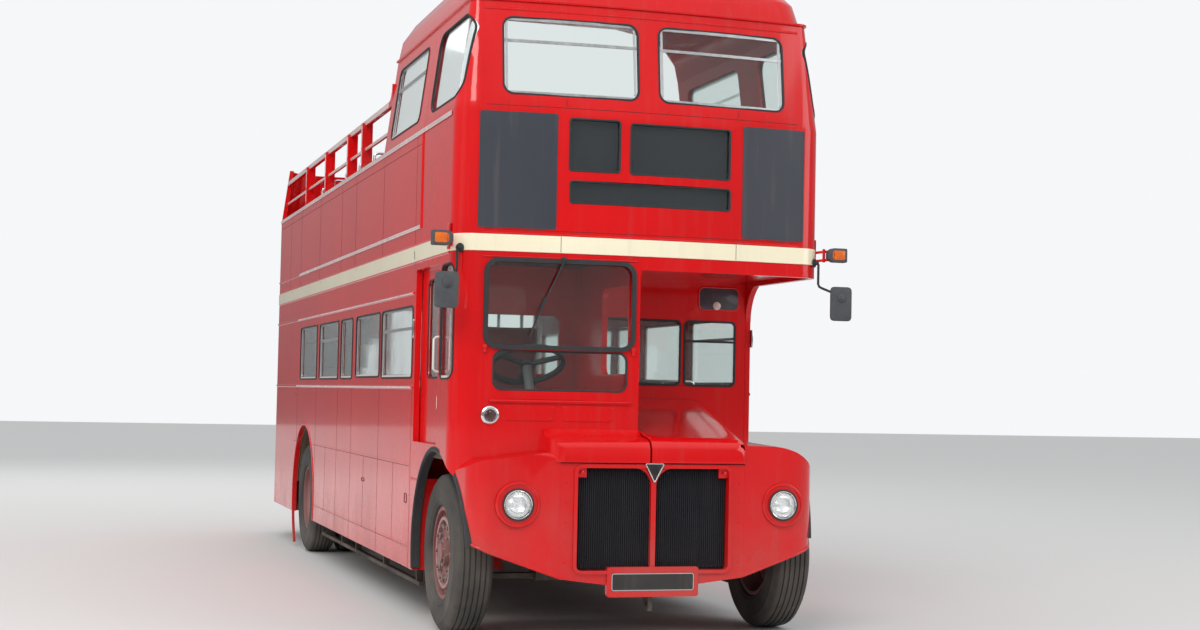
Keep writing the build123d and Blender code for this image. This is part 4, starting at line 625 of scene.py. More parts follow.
# %% [markdown]
# ## Windows
# Each opening in the coachwork is lined with a black rubber gasket, and an alloy frame stands in it a little
# way in. Two windows on each flank drop by half, so a thicker alloy bar crosses them near the top. The same
# section goes round every opening, which is why the openings are kept in a table.

# %% Window tables
FLANK_WINDOWS = [
    (0.780, 1.939, 1.600, 2.095, 0.05),
    (2.009, 3.058, 1.610, 2.095, 0.05),
    (3.218, 3.809, 1.600, 2.095, 0.05),
    (3.929, 4.998, 1.600, 2.095, 0.05),
    (5.148, 6.217, 1.600, 2.095, 0.05),
    (-0.400, 0.450, 3.340, 3.875, 0.11),
    (0.800, 1.850, 3.340, 3.870, 0.07),
]
FRONT_WINDOWS = [(-0.940, -0.063, 3.360, 3.860, 0.07), (0.063, 0.940, 3.360, 3.860, 0.07)]
BLIND_WINDOWS = [
    (-0.521, -0.186, 2.897, 3.233, 0.025),
    (-0.127, 0.555, 2.893, 3.222, 0.025),
    (-0.513, 0.559, 2.695, 2.843, 0.025),
]
QUARTER_WINDOW = (-0.395, -0.090, 1.590, 2.315, 0.07)
LOWER_SCREEN = (-0.970, -0.115, 1.530, 1.780, 0.06)
REAR_WINDOW = (-0.750, -0.050, 1.300, 2.095, 0.08)
BULKHEAD_WINDOWS = [(0.120, 0.690, 1.590, 2.050, 0.04), (0.715, 1.100, 1.590, 2.050, 0.04)]
LIP = [(-0.006, -0.012), (0.006, -0.012), (0.006, 0.003), (0.002, 0.0055), (-0.002, 0.0055), (-0.006, 0.003)]


def flank_openings(side):
    """The openings of one flank. Only the driver's flank has the cab's quarter window."""
    return FLANK_WINDOWS + ([QUARTER_WINDOW] if side < 0 else [])


print(len(FLANK_WINDOWS), "openings a side")

# %% Gaskets
gaskets = bmesh.new()
GASKET_INSET = 0.006
for side in (-1, 1):
    for window in flank_openings(side):
        run = [round_corner(side, y, z) for y, z in closer(rounded(window, GASKET_INSET))]
        sweep(gaskets, [place for place, _ in run], LIP, [way for _, way in run], True)
for window in FRONT_WINDOWS + BLIND_WINDOWS + [LOWER_SCREEN]:
    front_run(gaskets, rounded(window, GASKET_INSET), LIP, closed=True)
wall_run(gaskets, TAIL_SKIN_Y, rounded(REAR_WINDOW, GASKET_INSET), LIP, True, 1)
for window in BULKHEAD_WINDOWS:
    wall_run(gaskets, BULKHEAD_Y, rounded(window, 0.004), flat_bar(0.016, 0.008, -0.004), True)
finished("window_gaskets", gaskets, seal_rubber)

# %% Alloy frames and split bars
frames = bmesh.new()
FRAMED_WINDOWS = FLANK_WINDOWS[:5] + FLANK_WINDOWS[6:]
FRAME, BAR = flat_bar(0.012, 0.007, -0.012), flat_bar(0.020, 0.010, -0.012)
for side in (-1, 1):
    for window in FRAMED_WINDOWS:
        flank_run(frames, side, rounded(window, 0.018), FRAME, closed=True)
    for y0, y1, split in ((0.800, 1.919, 1.940), (3.949, 4.978, 1.940), (0.820, 1.830, 3.700)):
        flank_run(frames, side, [(y0, split), (y1, split)], BAR)
    for low, high, bottom, top, _ in (FLANK_WINDOWS[0], FLANK_WINDOWS[3]):
        for y in (low + 0.030, high - 0.030):
            flank_run(frames, side, [(y, bottom + 0.02), (y, top - 0.02)], flat_bar(0.018, 0.006, -0.013))
for low, high, _, _, _ in FRONT_WINDOWS:
    for z in (3.705, 3.842):
        front_run(frames, spread(low, high, z, 6), flat_bar(0.018, 0.010, -0.013))
    for x in (low + 0.028, high - 0.028):
        front_run(frames, [(x, 3.40), (x, 3.84)], flat_bar(0.014, 0.008, -0.013))
    front_run(frames, spread(low + 0.03, high - 0.03, 3.376, 6), flat_bar(0.016, 0.012, -0.013))
finished("window_frames", frames, alloy)

# %% Pale sills under the panes
sills = bmesh.new()
SILL = flat_bar(0.020, 0.014, -0.013)
for side in (-1, 1):
    for low, high, z, _, _ in FRAMED_WINDOWS:
        flank_run(sills, side, [(low + 0.05, z + 0.013), (high - 0.05, z + 0.013)], SILL)
flank_run(sills, -1, [(-0.31, 1.606), (-0.15, 1.606)], SILL)
finished("window_sills", sills, handle_white)

# %% [markdown]
# ## Beadings and rain strips
# Beadings cover the joints between panels. On the real coach they are half-round strips pinned over the edge
# of each panel, so each is one half-round section run over the raised rib that the frame has. Their pale
# finish is painted highlight for the sky on their glossy red crowns. The thickest runs along the waist, over
# the upper panels.

# %% Beadings
FLANK_START, FLANK_END = -0.300, 7.880
beads = bmesh.new()
for side in (-1, 1):
    saloon_end = 6.400 if side < 0 else 6.340
    for z, radius, low, high in (
            (3.2425, 0.0075, FLANK_START, FLANK_END), (3.2580, 0.0070, FLANK_START, FLANK_END),
            (2.6190, 0.0060, 0.600, 6.380), (2.6065, 0.0060, 0.600, 6.380),
            (1.5400, 0.0060, 0.800, saloon_end), (2.1750, 0.0050, 0.800, saloon_end)):
        flank_run(beads, side, [(low, z), (high, z)], half_round(radius), 0.005)
    flank_run(beads, side, [(0.604, 2.62), (0.604, 3.236)], half_round(0.004))
# The beadings' pale finish is painted highlight for the sky on their red crowns.
finished("beadings_painted_highlight", beads, beading_highlight)

# %% Painted highlight strips on the deck rails
BAYS = (0.770, 1.989, 3.208, 3.919, 5.138, 6.357)
rails_low, rails_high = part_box("deck_rails")
RAIL_X, TOP_RAIL_Z, MID_RAIL_Z = SKIN_X - 0.070, 3.660, 3.450
POST_STRIP = flat_bar(0.030, 0.003)
# Pale strips on the top and outer faces of the rails and posts: painted highlight for the sky's reflection.
rail_highlights = bmesh.new()
for side in (-1, 1):
    for x, front_gap, z, section, out in (
            (RAIL_X + 0.0165, 0.150, TOP_RAIL_Z, flat_bar(0.036, 0.003), (side, 0, 0)),
            (RAIL_X, 0.150, TOP_RAIL_Z + 0.022, flat_bar(0.024, 0.003), (0, 0, 1)),
            (RAIL_X + 0.009, 0.002, MID_RAIL_Z, half_round(0.0125, 0.75), (side, 0, 0))):
        sweep(rail_highlights, sided(side, (x, rails_low.y + front_gap, z), (x, rails_high.y - 0.002, z)), section, out)
    for y in BAYS[2:]:
        for ends in ((WAIST_Z + 0.07, MID_RAIL_Z - 0.016), (MID_RAIL_Z + 0.016, TOP_RAIL_Z - 0.023)):
            post = sided(side, *[(RAIL_X + 0.0415, FRONT_AXLE_Y + y, z) for z in ends])
            sweep(rail_highlights, post, POST_STRIP, (side, 0, 0))
finished("rail_painted_highlights", rail_highlights, beading_highlight)

# %% Raised red strips
strips = bmesh.new()
DRIP_STRIP = half_round(0.007, 0.95)
for side in (-1, 1):
    flank_run(strips, side, [(0.584, 2.60), (0.584, 3.238)], half_round(0.016, 0.6))
    for z in (2.378, 2.4965):
        flank_run(strips, side, [(FLANK_START, z), (FLANK_END, z)], DRIP_STRIP)
front_run(strips, spread(-1.05, 1.05, 2.4965, 16), DRIP_STRIP)
front_run(strips, spread(-1.05, 1.05, 3.905, 16), half_round(0.008, 0.9))
finished("raised_strips", strips, red_paint)

# %% [markdown]
# ## Seams and rivets
# The panels are cut to the bays between the pillars, so dark vertical seams run up at each bay line, with
# long joints along the skirt. A seam is a hair-thin dark strip. The rivets along them are made with Geometry
# Nodes: the modifier reads bare lines, spaces points along them and puts a low domed head on each, turned to
# face outwards.

# %% Seams
ARCH_Y, ARCH_R, SKIRT_Z = REAR_AXLE_Y - FRONT_AXLE_Y, 0.700, 0.335
SEAM = flat_bar(0.0035, 0.0007)


def arch_top(y):
    """How high the skirt starts here, over the rear wheel's arch."""
    inside = ARCH_R ** 2 - (y - ARCH_Y) ** 2
    return max(SKIRT_Z, TYRE_R + math.sqrt(inside)) if inside > 0 else SKIRT_Z


def arch_half(z):
    """Half the width of the rear arch at this height."""
    return math.sqrt(max(0.0, ARCH_R ** 2 - (z - TYRE_R) ** 2))


def seam_runs(side):
    """The seams of one flank, each as its two ends (y, z)."""
    runs = [((y, arch_top(y) + 0.005), (y, 1.529)) for y in BAYS]
    runs += [((y, 2.505), (y, 3.238)) for y in BAYS + (7.10,)]
    runs += [((y, 0.475), (y, 1.005)) for y in (2.59, 4.53, 1.38)]
    for z in (0.470, 1.010):
        reach = arch_half(z) + 0.004
        runs += [((0.80, z), (ARCH_Y - reach, z)), ((ARCH_Y + reach, z), (6.55, z))]
    return runs + [((0.62, 3.170), (7.86, 3.170)), ((6.40, 1.460), (6.55, 1.460))]


seams = bmesh.new()
for side in (-1, 1):
    for ends in seam_runs(side):
        flank_run(seams, side, ends, SEAM)
for x in (-0.537, 0.606):
    front_run(seams, [(x, 3.30), (x, 3.348)], SEAM)
for z in (2.520, 3.290):
    front_run(seams, spread(-1.04, 1.04, z, 16), SEAM)
for x in (0.600, -0.560):
    front_run(seams, [(x, 2.39), (x, 2.488)], flat_bar(0.003, 0.0007), 0.006)
finished("panel_seams", seams, seam_dark)

# %% A node tree for rows of rivets
def geometry_tree(name, output, inputs):
    """A new Geometry Nodes tree with one output: the tree, the sockets of its inputs, and its last node."""
    tree = bpy.data.node_groups.new(name, "GeometryNodeTree")
    for title, kind, value in inputs:
        socket = tree.interface.new_socket(title, in_out="INPUT", socket_type="NodeSocket" + kind)
        if value is not None:
            socket.default_value = value
    tree.interface.new_socket(output, in_out="OUTPUT", socket_type="NodeSocketGeometry")
    return tree, tree.nodes.new("NodeGroupInput").outputs, tree.nodes.new("NodeGroupOutput")


rivet_tree, given, rivet_out = geometry_tree("rivet_rows", "Rivets", (
    ("Lines", "Geometry", None), ("Spacing", "Float", 0.06), ("Head", "Float", 0.004),
    ("Outwards", "Vector", (1, 0, 0)), ("Finish", "Material", None)))
line = node(rivet_tree, "GeometryNodeMeshToCurve", {"Mesh": given["Lines"]})
spaced = node(rivet_tree, "GeometryNodeResampleCurve", {"Curve": line.outputs[0]}, mode="LENGTH")
fill_inputs(rivet_tree, spaced, {"Length": given["Spacing"]})
head = node(rivet_tree, "GeometryNodeMeshUVSphere", {"Segments": 8, "Rings": 4, "Radius": given["Head"]})
flat = node(rivet_tree, "GeometryNodeTransform", {"Geometry": head.outputs[0], "Scale": (1, 1, 0.55)})
aim = node(rivet_tree, "FunctionNodeAlignRotationToVector", {"Vector": given["Outwards"]}, axis="Z")
placed = node(rivet_tree, "GeometryNodeInstanceOnPoints",
              {"Points": spaced.outputs[0], "Instance": flat.outputs[0], "Rotation": aim.outputs[0]})
real = node(rivet_tree, "GeometryNodeRealizeInstances", {"Geometry": placed.outputs[0]})
dressed = node(rivet_tree, "GeometryNodeSetMaterial",
               {"Geometry": real.outputs[0], "Material": given["Finish"]})
fill_inputs(rivet_tree, rivet_out, {0: dressed.outputs[0]})
print("rivet tree of", len(rivet_tree.nodes), "nodes")

# %% Making plain meshes from a tree
def made_by_tree(name, tree, edges, body="body", slot=None, **values):
    """Runs a Geometry Nodes tree on lines and keeps the plain mesh that comes out."""
    mesh = bpy.data.meshes.new(name)
    points = [point for edge in edges for point in edge]
    mesh.from_pydata(points, [(2 * i, 2 * i + 1) for i in range(len(edges))], [])
    source = in_scene(name + "_lines", mesh)
    modifier = source.modifiers.new("tree", "NODES")
    modifier.node_group = tree
    for item in tree.interface.items_tree:
        if item.in_out == "INPUT" and item.name in values:
            modifier[item.identifier] = values[item.name]
    bpy.context.view_layer.update()
    evaluated = source.evaluated_get(bpy.context.evaluated_depsgraph_get())
    plain = bpy.data.meshes.new_from_object(evaluated)
    bpy.data.objects.remove(source)
    plain.name = name
    plain.shade_smooth()
    plain.set_sharp_from_angle(angle=math.radians(50))
    piece = in_scene(name, plain)
    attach(piece, body)
    print(name, len(plain.polygons), "faces")
    return piece


# %% Rivets
RIVET, BESIDE_SEAM = 0.0035, 0.016
for side, word in ((-1, "offside"), (1, "nearside")):
    rows = []
    for start, end in seam_runs(side):
        shift_y, shift_z = (BESIDE_SEAM, 0) if start[0] == end[0] else (0, BESIDE_SEAM)
        rows.append([on_flank(side, y + shift_y, z + shift_z) for y, z in (start, end)])
    made_by_tree("flank_rivets_" + word, rivet_tree, rows, Spacing=0.075, Head=RIVET, Outwards=(side, 0, 0),
                 Finish=red_paint)
front_rows = [[on_front(-1.04 + 0.13 * k, z), on_front(-0.91 + 0.13 * k, z)]
              for k in range(16) for z in (2.536, 3.305)]
front_rows += [[on_front(x, z0), on_front(x, z1)] for x, z0, z1 in (
    (-1.030, 1.20, 1.32), (-0.160, 1.20, 1.32), (-1.062, 1.48, 2.36), (-1.062, 1.16, 1.30))]
made_by_tree("front_rivets", rivet_tree, front_rows, Spacing=0.065, Head=RIVET, Outwards=(0, -1, 0),
             Finish=red_paint)

# %% [markdown]
# ## Headlamps and the cab's corner lamp
# A headlamp of this age is a chromed rim that clamps a fluted glass lens over a silvered bowl, with its bulb
# in the middle. All of those are round, so each is turned. The flutes are a fine wave on the lens, made with
# a bump.

# %% Fluted glass
fluted_glass = clear_glass("fluted_glass", (0.97, 0.98, 1.0), 0.03)
tree = fluted_glass.node_tree
across = node(tree, "ShaderNodeSeparateXYZ", {0: object_place(tree)}).outputs["X"]
flutes = sums(tree, "SINE", sums(tree, "MULTIPLY", across, 520.0), 0.0)
fill_inputs(tree, tree.nodes["Principled BSDF"], {"Normal": bump(tree, flutes, 0.002, 0.5)})
silvered = bright_metal("silvered_bowl", (0.92, 0.92, 0.90), 0.12)
print("fluted glass and silvering")

# %% Headlamps
GRILLE_Y = FRONT_AXLE_Y - 0.740
LAMP_SEAT_Y, LAMP_X, LAMP_Z = GRILLE_Y + 0.0697, 0.856, 0.849
RIM = [(0.0795, 0.010), (0.0915, 0.004), (0.0920, 0.074), (0.0900, 0.080), (0.0865, 0.0835),
       (0.0825, 0.0825), (0.0800, 0.0790), (0.0795, 0.010)]
BOWL = [(0.0794, 0.072), (0.0760, 0.055), (0.0640, 0.034), (0.0440, 0.018), (0.0200, 0.010), (0.0130, 0.009),
        (0.0130, 0.030), (0.0100, 0.037), (0, 0.040)]
LENS = [(0, 0.0855), (0.030, 0.0842), (0.055, 0.0808), (0.074, 0.0765), (0.0790, 0.0740), (0.0770, 0.0715),
        (0.055, 0.0770), (0.030, 0.0805), (0, 0.0820)]
CORNER_RIM = [(0.036, 0.001), (0.058, 0.001), (0.058, 0.006), (0.052, 0.011), (0.044, 0.0135),
              (0.038, 0.0125), (0.036, 0.009), (0.036, 0.001)]
CORNER_LENS = [(0, 0.0135), (0.018, 0.0125), (0.030, 0.0100), (0.0355, 0.006), (0.0355, 0.002), (0, 0.002)]
rims, bowls, lenses = bmesh.new(), bmesh.new(), bmesh.new()
for side in (-1, 1):
    seat = (side * LAMP_X, LAMP_SEAT_Y, LAMP_Z)
    for bm, profile, steps in ((rims, RIM, 56), (bowls, BOWL, 48), (lenses, LENS, 56)):
        turn(bm, seat, (0, -1, 0), profile, steps)
corner = on_front(-0.977, 1.377)
turn(rims, corner, (0, -1, 0), CORNER_RIM, 40)
turn(lenses, corner, (0, -1, 0), CORNER_LENS, 36)
lamp_rims = finished("lamp_rims", rims, chrome)
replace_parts(lamp_rims, "headlamps")
finished("lamp_bowls", bowls, silvered)
finished("lamp_lenses", lenses, fluted_glass)

# %% [markdown]
# ## Direction indicators and mirrors
# The indicators are amber lenses in grey housings that taper towards the bus, each on a red bracket at the
# corner of the band. The mirrors are rounded boxes on bent arms. A flat outline with rounded corners is
# filled and drawn out to its depth in rings that draw in at both ends, which softens its edges.

# %% Housings from an outline
def drawn_out(bm, outline, shift, bevel=0.004):
    """A closed block from a flat outline with no hollow in it, drawn out by a shift, with softened edges."""
    shift, count = Vector(shift), len(outline)
    along, middle = shift.normalized(), sum(outline, Vector()) / len(outline)
    inwards = []
    for k, point in enumerate(outline):
        edge = (outline[(k + 1) % count] - outline[k - 1]).normalized()
        way = along.cross(edge).normalized()
        inwards.append(way if way.dot(middle - point) > 0 else -way)
    rings = []
    for draw, depth in ((bevel, 0), (0.3 * bevel, 0.3 * bevel), (0, bevel), (0, shift.length - bevel),
                        (0.3 * bevel, shift.length - 0.3 * bevel), (bevel, shift.length)):
        rings.append([bm.verts.new(p + w * draw + along * depth) for p, w in zip(outline, inwards)])
    for first, second in zip(rings, rings[1:]):
        for k in range(count):
            n = (k + 1) % count
            bm.faces.new((first[k], first[n], second[n], second[k]))
    bm.faces.new(rings[0][::-1])
    bm.faces.new(rings[-1])


def softened(corners, radius, steps=4):
    """A polygon (u, v) with each corner cut to a small arc-like run of points."""
    points = []
    for k, corner in enumerate(corners):
        here = Vector(corner)
        before = (Vector(corners[k - 1]) - here).normalized() * radius
        after = (Vector(corners[(k + 1) % len(corners)]) - here).normalized() * radius
        for step in range(steps + 1):
            share = step / steps
            points.append(here + before * (1 - share) ** 2 + after * share ** 2)
    return points


def soft_box(low_u, high_u, low_v, high_v, radius):
    """A rectangle with softened corners."""
    return softened([(low_u, low_v), (high_u, low_v), (high_u, high_v), (low_u, high_v)], radius)


HOUSING = [(1.240, 2.425), (1.272, 2.404), (1.373, 2.404), (1.373, 2.496), (1.272, 2.496), (1.240, 2.475)]
AMBER = [(1.268, 2.430), (1.282, 2.419), (1.356, 2.419), (1.356, 2.481), (1.282, 2.481), (1.268, 2.470)]
INDICATOR_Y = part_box("indicators")[0].y
housings, ambers, brackets = bmesh.new(), bmesh.new(), bmesh.new()
for side in (-1, 1):
    for bm, shape, radius, y, deep, bevel in (
            (housings, HOUSING, 0.012, 0.005, 0.052, 0.005), (ambers, AMBER, 0.010, 0.0015, 0.010, 0.003),
            (ambers, AMBER, 0.010, 0.0500, 0.009, 0.003)):
        outline = sided(side, *[(x, INDICATOR_Y + y, z) for x, z in softened(shape, radius)])
        drawn_out(bm, outline, (0, deep, 0), bevel)
    corners = soft_box(-0.345, -0.290, 2.395, 2.560, 0.012)
    plate = sided(side, *[(1.2225, FRONT_AXLE_Y + y, z) for y, z in corners])
    drawn_out(brackets, plate, (side * 0.008, 0, 0), 0.002)
    for z in (2.420, 2.475):
        arm = sided(side, (1.228, FRONT_AXLE_Y - 0.330, z), (1.246, INDICATOR_Y + 0.080, z),
                    (1.262, INDICATOR_Y + 0.050, z))
        sweep(brackets, arm, flat_bar(0.016, 0.016, -0.008), (0, 0, 1))
    post = sided(side, (1.236, INDICATOR_Y + 0.075, 2.405), (1.236, INDICATOR_Y + 0.075, 2.492))
    sweep(brackets, post, round_bar(0.010), (0, -1, 0))
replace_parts(finished("indicator_housings", housings, housing_grey), "indicators")
finished("indicator_lenses", ambers, amber_lens)
finished("indicator_brackets", brackets, red_paint)

# %% Mirrors
MIRROR = Vector((1.294, NOSE_Y - 0.073, 2.130))
KNEE = Vector((1.2003, NOSE_Y + 0.0777, 2.400))
ARM = [(-0.024, 0.024, 0), (-0.006, 0.006, 0), (0, 0, -0.010), (0, 0, -0.138), (0.004, -0.008, -0.154),
       (0.014, -0.024, -0.164)]
MIRROR_BOSS = [(0.030, 0), (0.028, 0.008), (0.016, 0.012), (0.014, 0.018), (0, 0.020)]
ARM_FOOT = [(0, 0), (0.030, 0.001), (0.028, 0.007), (0.014, 0.012), (0.012, 0.030), (0, 0.032)]


def mirror_outline(side, shift_y, margin, radius):
    """The rounded outline of a mirror, drawn in by a margin."""
    wide, tall = 0.074 - margin, 0.110 - margin
    outline = soft_box(MIRROR.x - wide, MIRROR.x + wide, MIRROR.z - tall, MIRROR.z + tall, radius)
    return sided(side, *[(x, MIRROR.y + shift_y, z) for x, z in outline])


backs, mirror_arms, mirror_faces = bmesh.new(), bmesh.new(), bmesh.new()
for side in (-1, 1):
    boss, foot, end = sided(side, MIRROR + Vector((0, -0.012, 0.040)), KNEE + Vector((-0.022, 0.022, 0)),
                            MIRROR + Vector((0, -0.020, 0.046)))
    drawn_out(backs, mirror_outline(side, -0.013, 0, 0.030), (0, 0.026, 0), 0.009)
    turn(backs, boss, (0, -1, 0), MIRROR_BOSS, 20)
    drawn_out(mirror_faces, mirror_outline(side, 0.0125, 0.010, 0.020), (0, 0.0022, 0), 0.001)
    route = sided(side, *[KNEE + Vector(step) for step in ARM]) + [end]
    sweep(mirror_arms, route, round_bar(0.008, 12), (0.3, 0.2, 0.9))
    turn(mirror_arms, foot, (side * 0.707, -0.707, 0), ARM_FOOT, 10)
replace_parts(finished("mirror_backs", backs, housing_grey), "mirrors")
finished("mirror_arms", mirror_arms, fitting_black)
finished("mirror_faces", mirror_faces, silvered)

# %% [markdown]
# ## The grille's wire mesh
# Behind the two openings stands fine black hexagonal wire. Each wire of such a mesh is a zigzag, and the
# next wire is its mirror, so the two touch along the flats and make rows of hexagons. The node tree makes
# one zigzag from the numbers of its points, places a mirrored copy on every second row, and gives the wires
# their thickness last.

# %% A node tree for hexagonal wire
wires, given, wires_out = geometry_tree("hexagonal_wire", "Wires", (
    ("Lines", "Geometry", None), ("Flat", "Float", 0.009), ("Rise", "Float", 0.0078),
    ("Wire", "Float", 0.0022), ("Points", "Int", 144), ("Rows", "Int", 75), ("Place", "Vector", (0, 0, 0)),
    ("Finish", "Material", None)))


def vector_of(**axes):
    """A vector in the wire tree, from the axes that aren't zero."""
    return node(wires, "ShaderNodeCombineXYZ", axes).outputs[0]


number = node(wires, "GeometryNodeInputIndex").outputs[0]
pair = sums(wires, "FLOOR", sums(wires, "MULTIPLY", number, 0.5), 0.0)
odd = sums(wires, "SUBTRACT", number, sums(wires, "MULTIPLY", pair, 2.0))
odd_pair = sums(wires, "MODULO", pair, 2.0)
wire_x = sums(wires, "MULTIPLY", sums(wires, "ADD", sums(wires, "MULTIPLY", pair, 1.5), odd), given["Flat"])
wire_z = sums(wires, "MULTIPLY", sums(wires, "SUBTRACT", 1.0, odd_pair), given["Rise"])
zigzag = node(wires, "GeometryNodeMeshLine", {"Count": given["Points"]})
bent = node(wires, "GeometryNodeSetPosition",
            {"Geometry": zigzag.outputs[0], "Position": vector_of(X=wire_x, Z=wire_z)})
wire = node(wires, "GeometryNodeMeshToCurve", {"Mesh": bent.outputs[0]})
rows = node(wires, "GeometryNodeMeshLine", {"Count": given["Rows"], "Offset": vector_of(Z=given["Rise"])})
odd_row = sums(wires, "MODULO", number, 2.0)
lift = sums(wires, "MULTIPLY", odd_row, given["Rise"])
lifted = node(wires, "GeometryNodeSetPosition", {"Geometry": rows.outputs[0], "Offset": vector_of(Z=lift)})
flip = sums(wires, "SUBTRACT", 1.0, sums(wires, "MULTIPLY", odd_row, 2.0))
hung = node(wires, "GeometryNodeInstanceOnPoints", {
    "Points": lifted.outputs[0], "Instance": wire.outputs[0], "Scale": vector_of(X=1.0, Y=1.0, Z=flip)})
loose = node(wires, "GeometryNodeRealizeInstances", {"Geometry": hung.outputs[0]})
gauge = node(wires, "GeometryNodeCurvePrimitiveQuadrilateral",
             {"Width": given["Wire"], "Height": given["Wire"]})
thick = node(wires, "GeometryNodeCurveToMesh", {"Curve": loose.outputs[0], "Profile Curve": gauge.outputs[0]})
moved = node(wires, "GeometryNodeTransform", {"Geometry": thick.outputs[0], "Translation": given["Place"]})
whole = node(wires, "GeometryNodeRealizeInstances", {"Geometry": moved.outputs[0]})
painted = node(wires, "GeometryNodeSetMaterial", {"Geometry": whole.outputs[0], "Material": given["Finish"]})
fill_inputs(wires, wires_out, {0: painted.outputs[0]})
print("wire tree of", len(wires.nodes), "nodes")

# %% The grille's mesh and the radiator behind it
mesh_low, mesh_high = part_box("grille_mesh")
FLAT, RISE = 0.0090, 0.0078
grille_wires = made_by_tree(
    "grille_wires", wires, [[mesh_low, mesh_high]], slot="black_mesh", Flat=FLAT, Rise=RISE, Wire=0.0026,
    Points=int((mesh_high.x - mesh_low.x) / (0.75 * FLAT)), Rows=int((mesh_high.z - mesh_low.z) / RISE) - 1,
    Place=(mesh_low.x + 0.002, mesh_low.y + 0.004, mesh_low.z + 0.002), Finish=mesh_black)
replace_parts(grille_wires, "grille_mesh")
core = bmesh.new()
FIN_PITCH, FINS, CORE_LOW = 0.006, 165, 0.446
tall = Vector((0, 0, 0.630))
fins = [Vector((-0.492 + FIN_PITCH * k, mesh_high.y + (0.010 if k % 2 else 0.003), CORE_LOW))
        for k in range(FINS)]
back_corners = [Vector((p.x, mesh_high.y + 0.020, p.z)) for p in (fins[0], fins[-1])]
pairs = [(core.verts.new(p), core.verts.new(p + tall)) for p in fins + back_corners]
for (a, b), (c, d) in zip(pairs[:FINS], pairs[1:FINS]):
    core.faces.new((a, b, d, c))
core.faces.new((*pairs[-2], *reversed(pairs[-1])))
finished("radiator_core", core, core_black, crease=20)

# %% Grille fittings
studs, edgings = bmesh.new(), bmesh.new()
PANEL_FACE_Y, PLATE_FACE_Y = GRILLE_Y - 0.014, FRONT_AXLE_Y - 0.7573
for side in (-1, 1):
    corner_stud = [(0.010, 0), (0.009, 0.002), (0.004, 0.0045), (0, 0.005)]
    turn(studs, (side * 0.460, PANEL_FACE_Y, 1.045), (0, -1, 0), corner_stud, 12)
    for z in (0.50, 0.62, 0.74, 0.86, 0.98):
        turn(studs, (side * 0.560, GRILLE_Y, z), (0, -1, 0), [(0.006, 0), (0.005, 0.003), (0, 0.004)], 8)
finished("grille_studs", studs, red_paint)
plate_edge = rounded((-0.262, 0.262, 0.332, 0.432, 0.010), 0, 3)
wall_run(edgings, PLATE_FACE_Y, plate_edge, flat_bar(0.005, 0.0012), True)
badge = softened([(-0.060, 1.100), (0.060, 1.100), (0.0, 0.985)], 0.010)
wall_run(edgings, PANEL_FACE_Y - 0.0015, badge, half_round(0.0035), True)
finished("bright_edgings", edgings, alloy)
blank = bmesh.new()
drawn_out(blank, on_wall(PANEL_FACE_Y + 0.010, badge), (0, -0.0125, 0), 0.001)
finished("blank_badge_plate", blank, plate_paint)

# %% [markdown]
# ## Tyres
# The frame's tyres are plain rings. A real tyre of this kind is round, with a bulged wall, two moulded rings
# on it and five grooves round its tread. It is one profile turned about the axle, in the same space as the
# ring it stands for, and it rolls with its wheel.

# %% Tyres
def tyre_profile():
    """Radius and distance from the tyre's middle, round the whole section."""
    wall = [(0.2940, 0.095), (0.3020, 0.112), (0.3200, 0.118), (0.3230, 0.1215), (0.3330, 0.1215),
            (0.3360, 0.1195), (0.3650, 0.1235), (0.4000, 0.1245), (0.4270, 0.1235), (0.4300, 0.1250),
            (0.4380, 0.1245), (0.4410, 0.1215), (0.4620, 0.1140), (0.4790, 0.1030), (0.4880, 0.0960),
            (0.4905, 0.0910)]
    tread = []
    for middle in (0.068, 0.034, 0.0, -0.034, -0.068):
        for offset, depth in ((0.0048, 0), (0.0036, 0.0095), (-0.0036, 0.0095), (-0.0048, 0)):
            across = middle + offset
            tread.append((0.4915 + 0.0080 * (1 - (across / 0.091) ** 2) - depth, across))
    return wall + tread + [(r, -a) for r, a in reversed(wall)] + [wall[0]]


AXLES = (("front_tyre_", "front_wheel_", (1.050,), 1.118, 0.168, FRONT_AXLE_Y),
         ("rear_tyres_", "rear_wheels_", (0.775, 1.065), 0.968, 0.150, REAR_AXLE_Y))
WHEELS = [(ring + word, wheel + word, side, *sizes)
          for ring, wheel, *sizes in AXLES for word, side in (("offside", -1), ("nearside", 1))]
for ring, body, side, places, _, _, axle_y in WHEELS:
    rubber_rings = bmesh.new()
    for x in places:
        turn(rubber_rings, (side * x, axle_y, TYRE_R), (1, 0, 0), tyre_profile(), 96)
    bmesh.ops.remove_doubles(rubber_rings, verts=rubber_rings.verts, dist=0.00005)
    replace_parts(finished("ribbed_" + ring, rubber_rings, tyre_rubber, body, 30), ring)

# %% Wheel nuts, guard rings and hub details
nut_steel = bright_metal("nut_steel", (0.42, 0.38, 0.36), 0.4)
guard_paint = paint("guard_ring", (0.42, 0.26, 0.25), (0.30, 0.16, 0.15), gloss=0.45, coat=0.1, top=1.2)
NUT = [(0.020, 0), (0.020, 0.004), (0.0175, 0.005), (0.0175, 0.020), (0.0125, 0.024), (0.0112, 0.024),
       (0.0112, 0.001), (0.020, 0)]
HUB_BOLT = [(0.0075, -0.002), (0.0075, 0.005), (0.0055, 0.007), (0, 0.007)]
FRONT_GUARD = [(0.2035, 0.002), (0.2035, 0.0230), (0.2060, 0.0255), (0.2240, 0.0255), (0.2265, 0.0230),
               (0.2265, 0.002), (0.2035, 0.002)]
REAR_RING = [(0.0860, 0.001), (0.1080, 0.001), (0.1090, 0.006), (0.0980, 0.012), (0.0860, 0.012),
             (0.0860, 0.001)]


def in_circle(side, x, axle_y, radius, count, start=0.0):
    """Places spaced evenly in a circle about an axle."""
    angles = [math.tau * (k + start) / count for k in range(count)]
    return sided(side, *[(x, axle_y + radius * math.cos(a), TYRE_R + radius * math.sin(a)) for a in angles])


